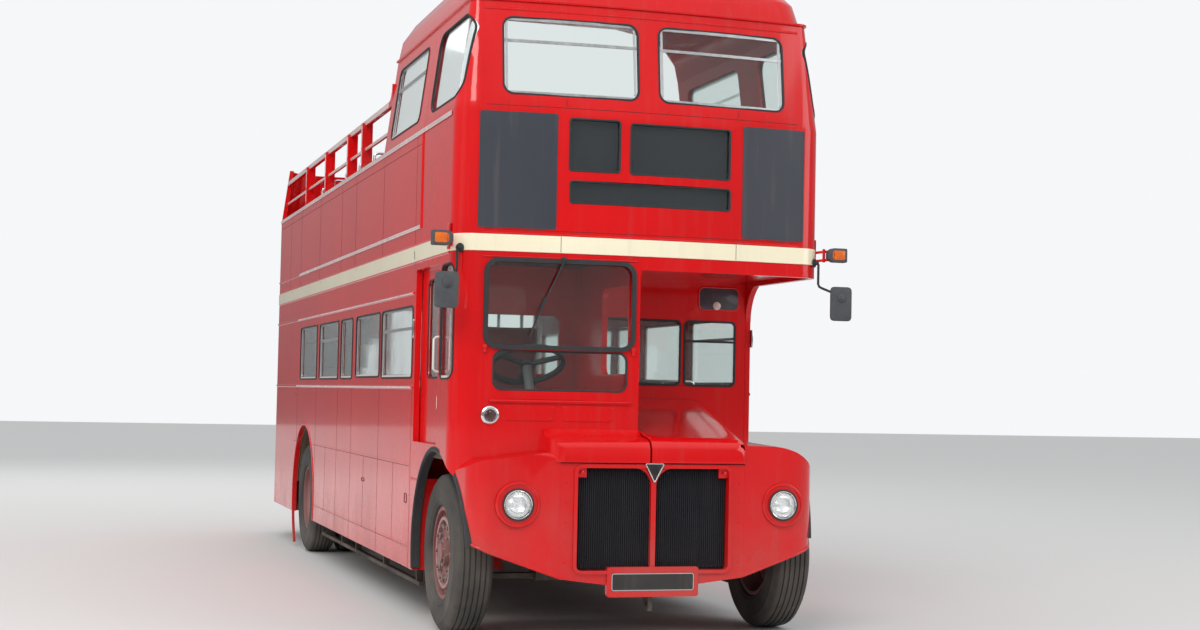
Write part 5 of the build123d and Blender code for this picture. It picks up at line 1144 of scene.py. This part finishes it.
for _, body, side, _, face_x, ring_r, axle_y in WHEELS:
    nuts, guards = bmesh.new(), bmesh.new()
    for place in in_circle(side, face_x, axle_y, ring_r, 10):
        turn(nuts, place, (side, 0, 0), NUT, 6)
    if body.startswith("front"):
        turn(guards, (side * face_x, axle_y, TYRE_R), (side, 0, 0), FRONT_GUARD, 64)
        for place in in_circle(side, face_x + 0.0335, axle_y, 0.072, 8, 0.5):
            turn(nuts, place, (side, 0, 0), HUB_BOLT, 6)
    else:
        turn(guards, (side * 1.080, axle_y, TYRE_R), (side, 0, 0), REAR_RING, 40)
    for bm in (nuts, guards):
        bmesh.ops.remove_doubles(bm, verts=bm.verts, dist=0.00005)
    finished("nuts_" + body, nuts, nut_steel, body, crease=20)
    finished("guard_" + body, guards, guard_paint, body)

# %% [markdown]
# ## Arch trims
# Black rubber edges the front arches. It follows the wing: along the flank it is flat, and forward of the
# axle the wing turns in, so the trim turns in with it. It is swept along the arch, with its place across the
# bus read from the wing's plan, and a paler grey edge runs along its inner side.

# %% Arch trims
def wing_edge_x(side, y):
    """How far out the wing's flank is, y metres behind the axle."""
    start, slope = ((-0.120, 0.1407), (-0.200, 0.2913))[side > 0]
    return SKIN_X - slope * max(0.0, start - y)


TRIM_R, PALE_EDGE_R = 0.651, 0.644
TRIM_SECTION = [(-0.017, -0.050), (0.019, -0.050), (0.019, 0.001), (0.013, 0.007), (-0.008, 0.0075),
                (-0.017, 0.003)]
trims, pale_edges = bmesh.new(), bmesh.new()
for side in (-1, 1):
    low, high = math.radians(172 if side < 0 else 168), math.radians(-14)
    arc, inner = [], []
    for k in range(49):
        angle = low + (high - low) * k / 48
        y, z = TRIM_R * math.cos(angle), TYRE_R + TRIM_R * math.sin(angle)
        x = wing_edge_x(side, y)
        arc.append((x - 0.002, FRONT_AXLE_Y + y, z))
        inner.append((x + 0.006, FRONT_AXLE_Y + y * 0.988, TYRE_R + PALE_EDGE_R * math.sin(angle)))
    sweep(trims, sided(side, *arc), TRIM_SECTION, (side, 0, 0))
    sweep(pale_edges, sided(side, *inner), half_round(0.0035, 1.0, 4), (side, 0, 0))
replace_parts(finished("arch_rubbers", trims, fitting_black), "arch_trims")
finished("arch_pale_edges", pale_edges, housing_grey)

# %% [markdown]
# ## Softened panel edges
# Pressed and hand-beaten panels never have a knife edge, and the light that runs along a rounded edge is
# what makes a panel look like metal. The frame's solids keep their shape, and a Bevel modifier rounds their
# edges for the render. Their meshes are loose triangles, so a Weld modifier joins them first, and Weighted
# Normal keeps the flat faces flat.

# %% Softened panel edges
EDGE_RADIUS = {
    "bonnet": 0.016, "bonnet_end": 0.018, "front_wing_offside": 0.010, "front_wing_nearside": 0.012,
    "grille_panel": 0.006, "cab_shell": 0.005, "canopy": 0.010, "upper_front": 0.005, "upper_rear": 0.004,
    "upper_side_offside": 0.004, "upper_side_nearside": 0.004, "lower_side_offside": 0.004,
    "lower_side_nearside": 0.004, "lower_rear": 0.004, "cream_band": 0.004, "front_roof": 0.006,
    "deck_rails": 0.008, "windscreen_frame": 0.006, "front_bulkhead": 0.004, "cab_door": 0.003,
    "platform": 0.004, "staircase": 0.006, "underframe": 0.004, "wheel_boxes": 0.008,
}
for name, radius in EDGE_RADIUS.items():
    panel = nodes[name]
    panel.modifiers.new("joined", "WELD").merge_threshold = 0.0001
    bevel = panel.modifiers.new("softened", "BEVEL")
    bevel.width, bevel.segments, bevel.limit_method, bevel.angle_limit = radius, 3, "ANGLE", math.radians(38)
    bevel.profile = 0.6
    panel.modifiers.new("weighted", "WEIGHTED_NORMAL").keep_sharp = False
    panel.data.shade_smooth()
print("softened", len(EDGE_RADIUS), "panels")

# %% [markdown]
# ## Front end beads and fittings
# The wings, the lamp seats and the grille are edged with a rolled bead, and the cab's front carries a wiper,
# small screws and a lip. A bead round a bend has to turn with the panel, so its path comes with an outward
# direction for each point.

# %% Wing edges and lamp seats
WING_CORNERS = {-1: ((1.134, -0.703), 0.154, -0.120), 1: ((1.066, -0.715), 0.195, -0.200)}


def wing_outline(side):
    """The wing's front and flank seen from above, from the grille outwards: (place, outward direction)."""
    (corner_x, corner_y), radius, flank_start = WING_CORNERS[side]
    start, corner, end = Vector((0.600, -0.740)), Vector((corner_x, corner_y)), Vector((SKIN_X, flank_start))
    first, last = (corner - start).normalized(), (end - corner).normalized()
    reach = radius * math.tan(first.angle(last) / 2)
    points = [start, start.lerp(corner - first * reach, 0.5)]
    for step in range(9):
        share = step / 8
        points.append(corner - first * reach * (1 - share) ** 2 + last * reach * share ** 2)
    points += [points[-1].lerp(end, k / 4) for k in range(1, 5)] + [Vector((SKIN_X, flank_start + 0.02))]
    run = []
    for k, point in enumerate(points):
        along = points[min(k + 1, len(points) - 1)] - points[max(k - 1, 0)]
        out = Vector((along.y, -along.x)).normalized()
        run.append((point, out))
    return run


def low_edge(x):
    """The height of the wing's lower edge this far across."""
    if x < 1.025:
        return 0.402 + (x - 0.595) * (0.553 - 0.402) / (1.025 - 0.595)
    return 0.553 + (x - 1.025) * (0.640 - 0.553) / (1.217 - 1.025)


RIDGE = [(0.118, 0.0), (0.118, 0.004), (0.122, 0.0085), (0.128, 0.0095), (0.134, 0.0070), (0.138, 0.0),
         (0.118, 0.0)]
LAMP_GASKET = [(0.0915, 0), (0.0915, 0.003), (0.0950, 0.005), (0.0985, 0.003), (0.0985, 0), (0.0915, 0)]
rolled, dark_rings = bmesh.new(), bmesh.new()
for side in (-1, 1):
    nose = [(x, y, out_x, out_y) for (x, y), (out_x, out_y) in wing_outline(side) if y <= -0.640]
    path = sided(side, *[(x - 0.002 * out_x, FRONT_AXLE_Y + y - 0.002 * out_y, low_edge(x) + 0.008)
                         for x, y, out_x, out_y in nose])
    ways = sided(side, *[(out_x, out_y, 0) for _, _, out_x, out_y in nose])
    sweep(rolled, path, half_round(0.008, 0.8), ways)
    turn(rolled, (side * LAMP_X, GRILLE_Y + 0.004, LAMP_Z), (0, -1, 0), RIDGE, 64)
    turn(dark_rings, (side * LAMP_X, GRILLE_Y - 0.008, LAMP_Z), (0, -1, 0), LAMP_GASKET, 48)
front_run(rolled, spread(-0.985, -0.095, 1.4680, 10), half_round(0.005), 0.012)
front_run(rolled, spread(-1.045, -0.060, 2.352, 10), half_round(0.005), 0.002)
finished("rolled_edges", rolled, red_paint)
finished("lamp_gaskets", dark_rings, seal_rubber)

# %% Red covers, brackets and screws of the cab
COVERS = [(-0.893, -0.586), (-0.522, -0.210)]
red_bits = bmesh.new()


def screw(bm, place, out, radius=0.005, rise=0.003):
    """A small round-headed screw."""
    dome = [(radius, -0.001), (radius * 0.9, rise * 0.5), (radius * 0.5, rise * 0.9), (0, rise)]
    turn(bm, place, out, dome, 8)


for low, high in COVERS:
    for x in (low + 0.018, (low + high) / 2, high - 0.018):
        for z in (1.364, 1.426):
            screw(red_bits, on_front(x, z, 0.005), (0, -1, 0), 0.0045)
for x in (-1.010, -0.110):
    for z in (1.70, 1.60, 1.50, 1.40, 1.30, 1.20):
        screw(red_bits, on_front(x, z), (0, -1, 0), 0.0035, 0.002)
for low, high in COVERS:
    cover = (low, high, 1.350, 1.440, 0.018)
    front_run(red_bits, rounded(cover, 0, 4), half_round(0.0045, 0.9), closed=True)
    drawn_out(red_bits, [on_front(x, z, -0.001) for x, z in rounded(cover, 0.012, 4)], (0, -0.004, 0), 0.0015)
front_run(red_bits, spread(-0.880, -0.400, 1.487, 4), flat_bar(0.014, 0.008))
for x in (-1.022, -0.082):
    for z, wide in ((1.800, 0.030), (1.775, 0.022)):
        hinge = soft_box(-wide / 2, wide / 2, -0.012, 0.012, 0.004)
        drawn_out(red_bits, [on_front(x + u, z + v, -0.004) for u, v in hinge], (0, -0.022, 0), 0.003)
    screw(red_bits, on_front(x, 1.800, 0.018), (0, -1, 0), 0.006)
finished("cab_red_screws", red_bits, red_paint)

# %% Wiper, grab handle and small bright work
bright, dark, white = bmesh.new(), bmesh.new(), bmesh.new()
PIVOT_BOSS = [(0.020, 0), (0.018, 0.016), (0.009, 0.022), (0.008, 0.030), (0, 0.031)]
BLADE = [(-0.003, -0.008), (0.003, -0.008), (0.006, 0.004), (0.006, 0.008), (-0.006, 0.008), (-0.006, 0.004)]
pivot, tip = on_front(-0.540, 2.338, 0.022), on_front(-0.700, 1.985, 0.004)
turn(dark, on_front(-0.540, 2.345), (0, -1, 0), PIVOT_BOSS, 20)
sweep(dark, [pivot, pivot.lerp(tip, 0.5) + Vector((0, -0.006, 0)), tip], flat_bar(0.009, 0.005), (0, -1, 0))
front_run(dark, [(-0.655, 2.110), (-0.745, 1.860)], BLADE, -0.003)
for side in (-1, 1):
    flasher = [on_flank(side, y, z) for y, z in soft_box(0.722, 0.756, 1.872, 1.998, 0.009)]
    drawn_out(bright, flasher, (side * 0.010, 0, 0), 0.002)
for k in range(4):
    z = 2.408 + 0.014 * k
    flank_run(dark, -1, [(0.742, z), (0.772, z)], flat_bar(0.005, 0.002), 0.006)
flank_run(bright, -1, [(0.757, 2.352), (0.757, 2.378)], flat_bar(0.020, 0.008))
for y in (3.10, 5.00, 6.90):
    screw(dark, on_flank(-1, y, 2.470, 0.006), (-1, 0, 0), 0.006)
for y, z, wide, tall in ((0.900, 0.790, 0.075, 0.060), (2.590, 0.830, 0.110, 0.022)):
    hatch = rounded((y - wide / 2, y + wide / 2, z - tall / 2, z + tall / 2, 0.010), 0, 3)
    flank_run(dark, -1, hatch, half_round(0.0035), closed=True)
grab = [on_flank(-1, -0.064, z, out) for z, out in (
    (1.640, 0.0), (1.643, 0.020), (1.656, 0.034), (1.844, 0.034), (1.857, 0.020), (1.860, 0.0))]
sweep(white, grab, round_bar(0.0075, 12), (0, 1, 0))
finished("cab_bright_work", bright, chrome)
finished("cab_dark_work", dark, fitting_black)
finished("cab_grab_handle", white, handle_white)

# %% Dark lamp panel on the bulkhead
panel_bead, lamp_panel, lamp_half, bars = bmesh.new(), bmesh.new(), bmesh.new(), bmesh.new()
outline = rounded((0.820, 1.120, 2.130, 2.290, 0.040))
wall_run(panel_bead, BULKHEAD_Y, outline, half_round(0.008, 0.8), True)
drawn_out(lamp_panel, on_wall(BULKHEAD_Y + 0.001, outline), (0, -0.006, 0), 0.002)
HALF_DOME = [(0.030, 0), (0.028, 0.006), (0.016, 0.011), (0, 0.013)]
turn(lamp_half, (0.955, BULKHEAD_Y - 0.004, 2.160), (0, -1, 0), HALF_DOME, 24)
wall_run(bars, BULKHEAD_Y - 0.002, [(0.722, 1.905), (1.093, 1.905)], flat_bar(0.016, 0.010))
wall_run(bars, BULKHEAD_Y + 0.012, [(0.12, 2.356), (1.10, 2.356)], flat_bar(0.020, 0.010, -0.022))
finished("bulkhead_panel_bead", panel_bead, red_paint)
finished("bulkhead_lamp_panel", lamp_panel, board_paint)
finished("bulkhead_lamp_boss", lamp_half, handle_white)
finished("bulkhead_pane_bar", bars, seal_rubber)

# %% Handle and window seal of the sliding door
door_pull, door_seal = bmesh.new(), bmesh.new()
pull_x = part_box("cab_door")[0].x
for bm, points, section, closed in (
        (door_pull, rounded((0.060, 0.170, 1.400, 1.490, 0.020)), half_round(0.0038), True),
        (door_pull, [(0.075, 1.445), (0.155, 1.445)], half_round(0.0042), False),
        (door_seal, rounded((0.025, 0.505, 1.600, 2.250, 0.06), 0.006), flat_bar(0.012, 0.004, -0.001),
         True)):
    sweep(bm, [Vector((pull_x, FRONT_AXLE_Y + y, z)) for y, z in points], section, (-1, 0, 0), closed)
finished("door_pull", door_pull, handle_white, "cab_door")
finished("door_window_gasket", door_seal, seal_rubber, "cab_door")

# %% [markdown]
# ## Blinds
# Behind the three small panes over the band hang the blinds that show where a bus is going. Here they are
# blank charcoal boards with a roller at the top, a little way behind the glass.

# %% Blinds
blind_paint = paint("blind_charcoal", (0.016, 0.018, 0.025), (0.020, 0.022, 0.030), gloss=0.8, coat=0.0,
                    grime=0.0, streaks=0.0, wave=0.01, specular=0.1)
BLIND_ROWS, BLIND_COLUMNS = 6, 8
blinds, rollers = bmesh.new(), bmesh.new()
for low, high, bottom, top, _ in BLIND_WINDOWS:
    rows_z = [bottom - 0.03 + (top - bottom + 0.05) * i / BLIND_ROWS for i in range(BLIND_ROWS + 1)]
    bow = [-0.036 - 0.004 * math.sin(math.pi * i / BLIND_ROWS) for i in range(BLIND_ROWS + 1)]
    grid = [[blinds.verts.new(on_front(x, z, out))
             for x, _ in spread(low - 0.02, high + 0.02, z, BLIND_COLUMNS)] for z, out in zip(rows_z, bow)]
    back = [[blinds.verts.new(v.co + Vector((0, 0.004, 0))) for v in row] for row in grid]
    for i in range(BLIND_ROWS):
        for j in range(BLIND_COLUMNS):
            for sheet in (grid, back):
                blinds.faces.new((sheet[i][j], sheet[i][j + 1], sheet[i + 1][j + 1], sheet[i + 1][j]))
    rim = ([(0, j) for j in range(BLIND_COLUMNS)] + [(i, BLIND_COLUMNS) for i in range(BLIND_ROWS)]
           + [(BLIND_ROWS, BLIND_COLUMNS - j) for j in range(BLIND_COLUMNS)]
           + [(BLIND_ROWS - i, 0) for i in range(BLIND_ROWS)])
    for (i, j), (m, n) in zip(rim, rim[1:] + rim[:1]):
        blinds.faces.new((grid[i][j], back[i][j], back[m][n], grid[m][n]))
    length = high - low
    roller = [(0, 0), (0.014, 0), (0.016, 0.006), (0.016, length + 0.014), (0.014, length + 0.020),
              (0, length + 0.020)]
    turn(rollers, on_front(low - 0.01, top + 0.028, -0.052), (1, 0, 0), roller, 16)
finished("blank_blinds", blinds, blind_paint)
finished("blind_rollers", rollers, fitting_black)

# %% [markdown]
# ## Bonnet furniture
# A narrow raised strip runs up the middle of the bonnet's lip, and it rides on the bonnet, so it lifts with
# it. A dark strip set deep in the gap under the lip is painted shade, the shadow line there.

# %% Bonnet furniture
lip_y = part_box("bonnet")[0].y
lip_strip, lip_shadow_strip = bmesh.new(), bmesh.new()
wall_run(lip_strip, lip_y + 0.0078, [(0.012, z) for z in (1.112, 1.150, 1.186)], half_round(0.015, 0.5))
# Dark strip deep under the lip: painted shade for the gap's shadow line.
wall_run(lip_shadow_strip, lip_y + 0.022, [(0.020, 1.094), (0.585, 1.094)], flat_bar(0.012, 0.006, -0.006))
finished("bonnet_centre_strip", lip_strip, red_paint, "bonnet")
finished("lip_gap_shadow", lip_shadow_strip, seal_rubber)

# %% [markdown]
# ## Cushions
# Bus cushions are horsehair and springs under a tight cover: they swell in the middle, and their sides pull
# in between the piped seams. Each kind of pad is made once. A closed box of small cells, a little smaller
# than its place, is blown up as cloth with pressure and no gravity, and no point may move further than a
# cap. The finished pad is then copied to every seat, and piping runs along its upper edge.

# %% Pads blown up as cloth
def pad_box(size, cells):
    """A closed box of small cells round the origin, and its upper rim as a list of point numbers in order."""
    (sx, sy, sz), (nx, ny, nz) = size, cells
    numbers, points, faces = {}, [], []

    def corner(i, j, k):
        """The number of a point of the box's surface."""
        if (i, j, k) not in numbers:
            numbers[i, j, k] = len(points)
            points.append((sx * (i / nx - 0.5), sy * (j / ny - 0.5), sz * (k / nz - 0.5)))
        return numbers[i, j, k]

    for i in range(nx):
        for j in range(ny):
            for k in (0, nz):
                faces.append((corner(i, j, k), corner(i + 1, j, k),
                              corner(i + 1, j + 1, k), corner(i, j + 1, k)))
        for k in range(nz):
            for j in (0, ny):
                faces.append((corner(i, j, k), corner(i + 1, j, k),
                              corner(i + 1, j, k + 1), corner(i, j, k + 1)))
    for j in range(ny):
        for k in range(nz):
            for i in (0, nx):
                faces.append((corner(i, j, k), corner(i, j + 1, k),
                              corner(i, j + 1, k + 1), corner(i, j, k + 1)))
    rim = [(i, 0) for i in range(nx)] + [(nx, j) for j in range(ny)] + [(nx - i, ny) for i in range(nx)]
    rim += [(0, ny - j) for j in range(ny)]
    return points, faces, [numbers[i, j, nz] for i, j in rim]


def blown_pad(name, size, cells, cap, pressure=4.0):
    """The points, faces and rim of a pad after its cover is blown up, held close to its own size."""
    small = [s - 2 * cap * 0.6 for s in size]
    points, faces, rim = pad_box(small, cells)
    mesh = bpy.data.meshes.new(name)
    mesh.from_pydata(points, [], faces)
    tidy = bmesh.new()
    tidy.from_mesh(mesh)
    bmesh.ops.recalc_face_normals(tidy, faces=tidy.faces)
    tidy.to_mesh(mesh)
    tidy.free()
    start = [Vector(v.co) for v in mesh.vertices]
    pad = in_scene(name, mesh)
    cloth = pad.modifiers.new("cover", "CLOTH").settings
    cloth.use_pressure = True
    cloth.uniform_pressure_force = pressure
    cloth.effector_weights.gravity = 0
    cloth.quality = 6
    cloth.tension_stiffness = 12
    cloth.bending_stiffness = 4
    for step in range(1, 21):
        bpy.context.scene.frame_set(step)
    swollen = pad.evaluated_get(bpy.context.evaluated_depsgraph_get())
    moved = [Vector(v.co) for v in swollen.data.vertices]
    bpy.context.scene.frame_set(1)
    bpy.data.objects.remove(pad)
    limits = [s / 2 + 0.004 for s in size]
    result = []
    for before, after in zip(start, moved):
        step = after - before
        if step.length > cap:
            step = step.normalized() * cap
        place = before + step
        result.append(Vector([max(-limit, min(limit, value)) for value, limit in zip(place, limits)]))
    polygons = [tuple(p.vertices) for p in mesh.polygons]
    furthest = max((r - s).length for r, s in zip(result, start))
    print(name, len(result), "points, moved up to", round(furthest, 4))
    return result, polygons, rim


cushion_pad = blown_pad("bench_cushion", (0.845, 0.428, 0.100), (20, 10, 3), 0.026)
squab_pad = blown_pad("bench_squab", (0.845, 0.470, 0.075), (20, 11, 2), 0.022)
bench_pad = blown_pad("arch_cushion", (0.610, 1.075, 0.079), (13, 22, 2), 0.024)
driver_pad = blown_pad("driver_cushion", (0.475, 0.405, 0.110), (13, 11, 3), 0.026)
driver_squab_pad = blown_pad("driver_squab", (0.475, 0.480, 0.085), (13, 13, 2), 0.024)

# %% Placing the pads
def place_pad(cover, piping, pad, turn_by, place):
    """Copies a pad to its place, turned by a matrix, with a thin piping round its upper rim."""
    points, faces, rim = pad
    verts = [cover.verts.new(turn_by @ p + Vector(place)) for p in points]
    for face in faces:
        cover.faces.new([verts[i] for i in face])
    line = [turn_by @ points[i] + Vector(place) for i in rim]
    up_way = turn_by @ Vector((0, 0, 1))
    sweep(piping, line[::2], round_bar(0.005, 5), up_way, True)


def cloth_piece(name, cover, material, fill, *stands_for):
    """Closes the covers of one kind of pad, with one subdivision made part of its mesh."""
    piece = finished(name, cover, material, crease=180)
    smooth = piece.modifiers.new("rounded", "SUBSURF")
    smooth.levels = smooth.render_levels = 1
    plain = bpy.data.meshes.new_from_object(piece.evaluated_get(bpy.context.evaluated_depsgraph_get()))
    piece.modifiers.clear()
    piece.data = plain
    if stands_for:
        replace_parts(piece, *stands_for)
    return piece


FLAT_TURN = Matrix.Identity(3)
UPRIGHT = Matrix.Rotation(math.radians(90), 3, "X")
LOWER_FLOOR_Z, UPPER_FLOOR_Z, SEAT_PITCH, SEAT_X = 0.660, 2.460, 0.700, 0.6725
DECKS = {
    "lower": (LOWER_FLOOR_Z, plush, [(-1, 6), (1, 6)], 1.510),
    "upper": (UPPER_FLOOR_Z, hide, [(-1, 9), (1, 10)], 0.370),
}
for deck, (floor_z, cloth_finish, sides, first_y) in DECKS.items():
    cushions, squabs, piping = bmesh.new(), bmesh.new(), bmesh.new()
    for side, count in sides:
        for i in range(count):
            y = FRONT_AXLE_Y + first_y + SEAT_PITCH * i
            place_pad(cushions, piping, cushion_pad, FLAT_TURN, (side * SEAT_X, y - 0.2155, floor_z + 0.380))
            place_pad(squabs, piping, squab_pad, UPRIGHT, (side * SEAT_X, y + 0.0375, floor_z + 0.665))
    if deck == "lower":
        for side in (-1, 1):
            place_pad(cushions, piping, bench_pad, FLAT_TURN, (side * 0.8675, REAR_AXLE_Y - 0.045, 1.2155))
    cloth_piece(deck + "_cushions", cushions, cloth_finish, 0.7, deck + "_seats")
    cloth_piece(deck + "_squabs", squabs, cloth_finish, 0.8)
    finished(deck + "_piping", piping, hide, crease=60)
cushions, squabs, piping = bmesh.new(), bmesh.new(), bmesh.new()
seat_low, seat_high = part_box("driver_seat")
middle_x = (seat_low.x + seat_high.x) / 2
place_pad(cushions, piping, driver_pad, FLAT_TURN, (middle_x, seat_low.y + 0.2050, 1.435))
place_pad(squabs, piping, driver_squab_pad, UPRIGHT, (middle_x, seat_high.y - 0.0450, 1.735))
pedestal = bmesh.new()
base = soft_box(middle_x - 0.160, middle_x + 0.160, seat_low.y + 0.060, seat_low.y + 0.350, 0.030)
drawn_out(pedestal, [Vector((x, y, 1.131)) for x, y in base], (0, 0, 0.250), 0.008)
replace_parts(finished("driver_pedestal", pedestal, grey_paint), "driver_seat")
cloth_piece("driver_cushion", cushions, hide, 0.7)
cloth_piece("driver_squab", squabs, hide, 0.8)
finished("driver_piping", piping, plush, crease=60)

# %% [markdown]
# ## Rails and poles inside
# Each paired seat has a grab rail of bright tube over its back, and some have a pole up to the ceiling. A
# rail is a path with rounded corners, swept with a round section.

# %% Seat rails and poles
seat_rails = bmesh.new()
RAIL_IN, RAIL_OUT, CEILING_Z = 0.262, 1.082, 2.378
for deck, (floor_z, _, sides, first_y) in DECKS.items():
    top = floor_z + 0.905
    hoop = [(RAIL_IN, top - 0.06), (RAIL_IN, top + 0.030), (0.270, top + 0.052), (0.292, top + 0.060),
            (1.050, top + 0.060), (1.074, top + 0.052), (RAIL_OUT, top + 0.030), (RAIL_OUT, top - 0.06)]
    for side, count in sides:
        for i in range(count):
            y = FRONT_AXLE_Y + first_y + SEAT_PITCH * i + 0.030
            sweep(seat_rails, sided(side, *[(x, y, z) for x, z in hoop]), round_bar(0.011), (0, 1, 0))
            if deck == "lower" and i % 2 == 0:
                pole = sided(side, (RAIL_IN, y, top + 0.030), (RAIL_IN, y, CEILING_Z))
                sweep(seat_rails, pole, round_bar(0.013), (0, 1, 0))
finished("seat_rails", seat_rails, alloy)

# %% [markdown]
# ## Stairs and tail
# Each stair has a bright nosing, and the tail has round red lamps and a blank plate. These are places that
# the photograph doesn't show, so they are kept plain.

# %% Step nosings
PLATFORM_Z, STEPS, GOING = 0.380, 9, 0.250
STAIR_RISE = (UPPER_FLOOR_Z - PLATFORM_Z) / STEPS
newel_x, newel_y = -0.416, TAIL_Y - 0.800
NOSING = half_round(0.012, 0.35)
nosings = bmesh.new()


def nosing(step, *ends):
    """The bright strip along the edge of one step, from the newel outwards."""
    z = PLATFORM_Z + STAIR_RISE * step
    sweep(nosings, [Vector((newel_x + x, newel_y + y, z)) for x, y in ends], NOSING, (0, 0, 1))


for i in range(2):
    x = GOING * (2 - i) - 0.004
    nosing(i + 1, (x, 0.02), (x, 0.72))
for i in range(3):
    angle = math.radians(90 + 30 * i)
    out, along = Vector((math.cos(angle), math.sin(angle))), Vector((-math.sin(angle), math.cos(angle)))
    nosing(i + 3, out * 0.06 + along * 0.014, out * 0.70 + along * 0.014)
for i in range(3):
    nosing(i + 6, (-0.72, -GOING * i - 0.014), (-0.02, -GOING * i - 0.014))
finished("step_nosings", nosings, alloy)

# %% Tail lamps and the blank rear plate
TAIL_RIM = [(0.040, 0.0), (0.052, 0.0), (0.052, 0.002), (0.046, 0.005), (0.040, 0.004), (0.040, 0.0)]
TAIL_LENS = [(0, 0.0), (0.0395, 0.0), (0.0395, 0.003), (0.022, 0.0055), (0, 0.0058)]
tail_lenses, tail_rims, tail_plate = bmesh.new(), bmesh.new(), bmesh.new()
for x, z in ((-0.700, 0.950), (-0.700, 1.110), (-0.700, 2.560), (0.700, 2.560)):
    turn(tail_rims, (x, TAIL_SKIN_Y, z), (0, 1, 0), TAIL_RIM, 32)
    turn(tail_lenses, (x, TAIL_SKIN_Y, z), (0, 1, 0), TAIL_LENS, 28)
plate = on_wall(TAIL_SKIN_Y - 0.001, soft_box(-0.665, -0.135, 0.640, 0.747, 0.012))
drawn_out(tail_plate, plate, (0, 0.0065, 0), 0.0015)
finished("tail_lenses", tail_lenses, red_glass)
finished("tail_rims", tail_rims, chrome)
finished("blank_rear_plate", tail_plate, plate_paint)
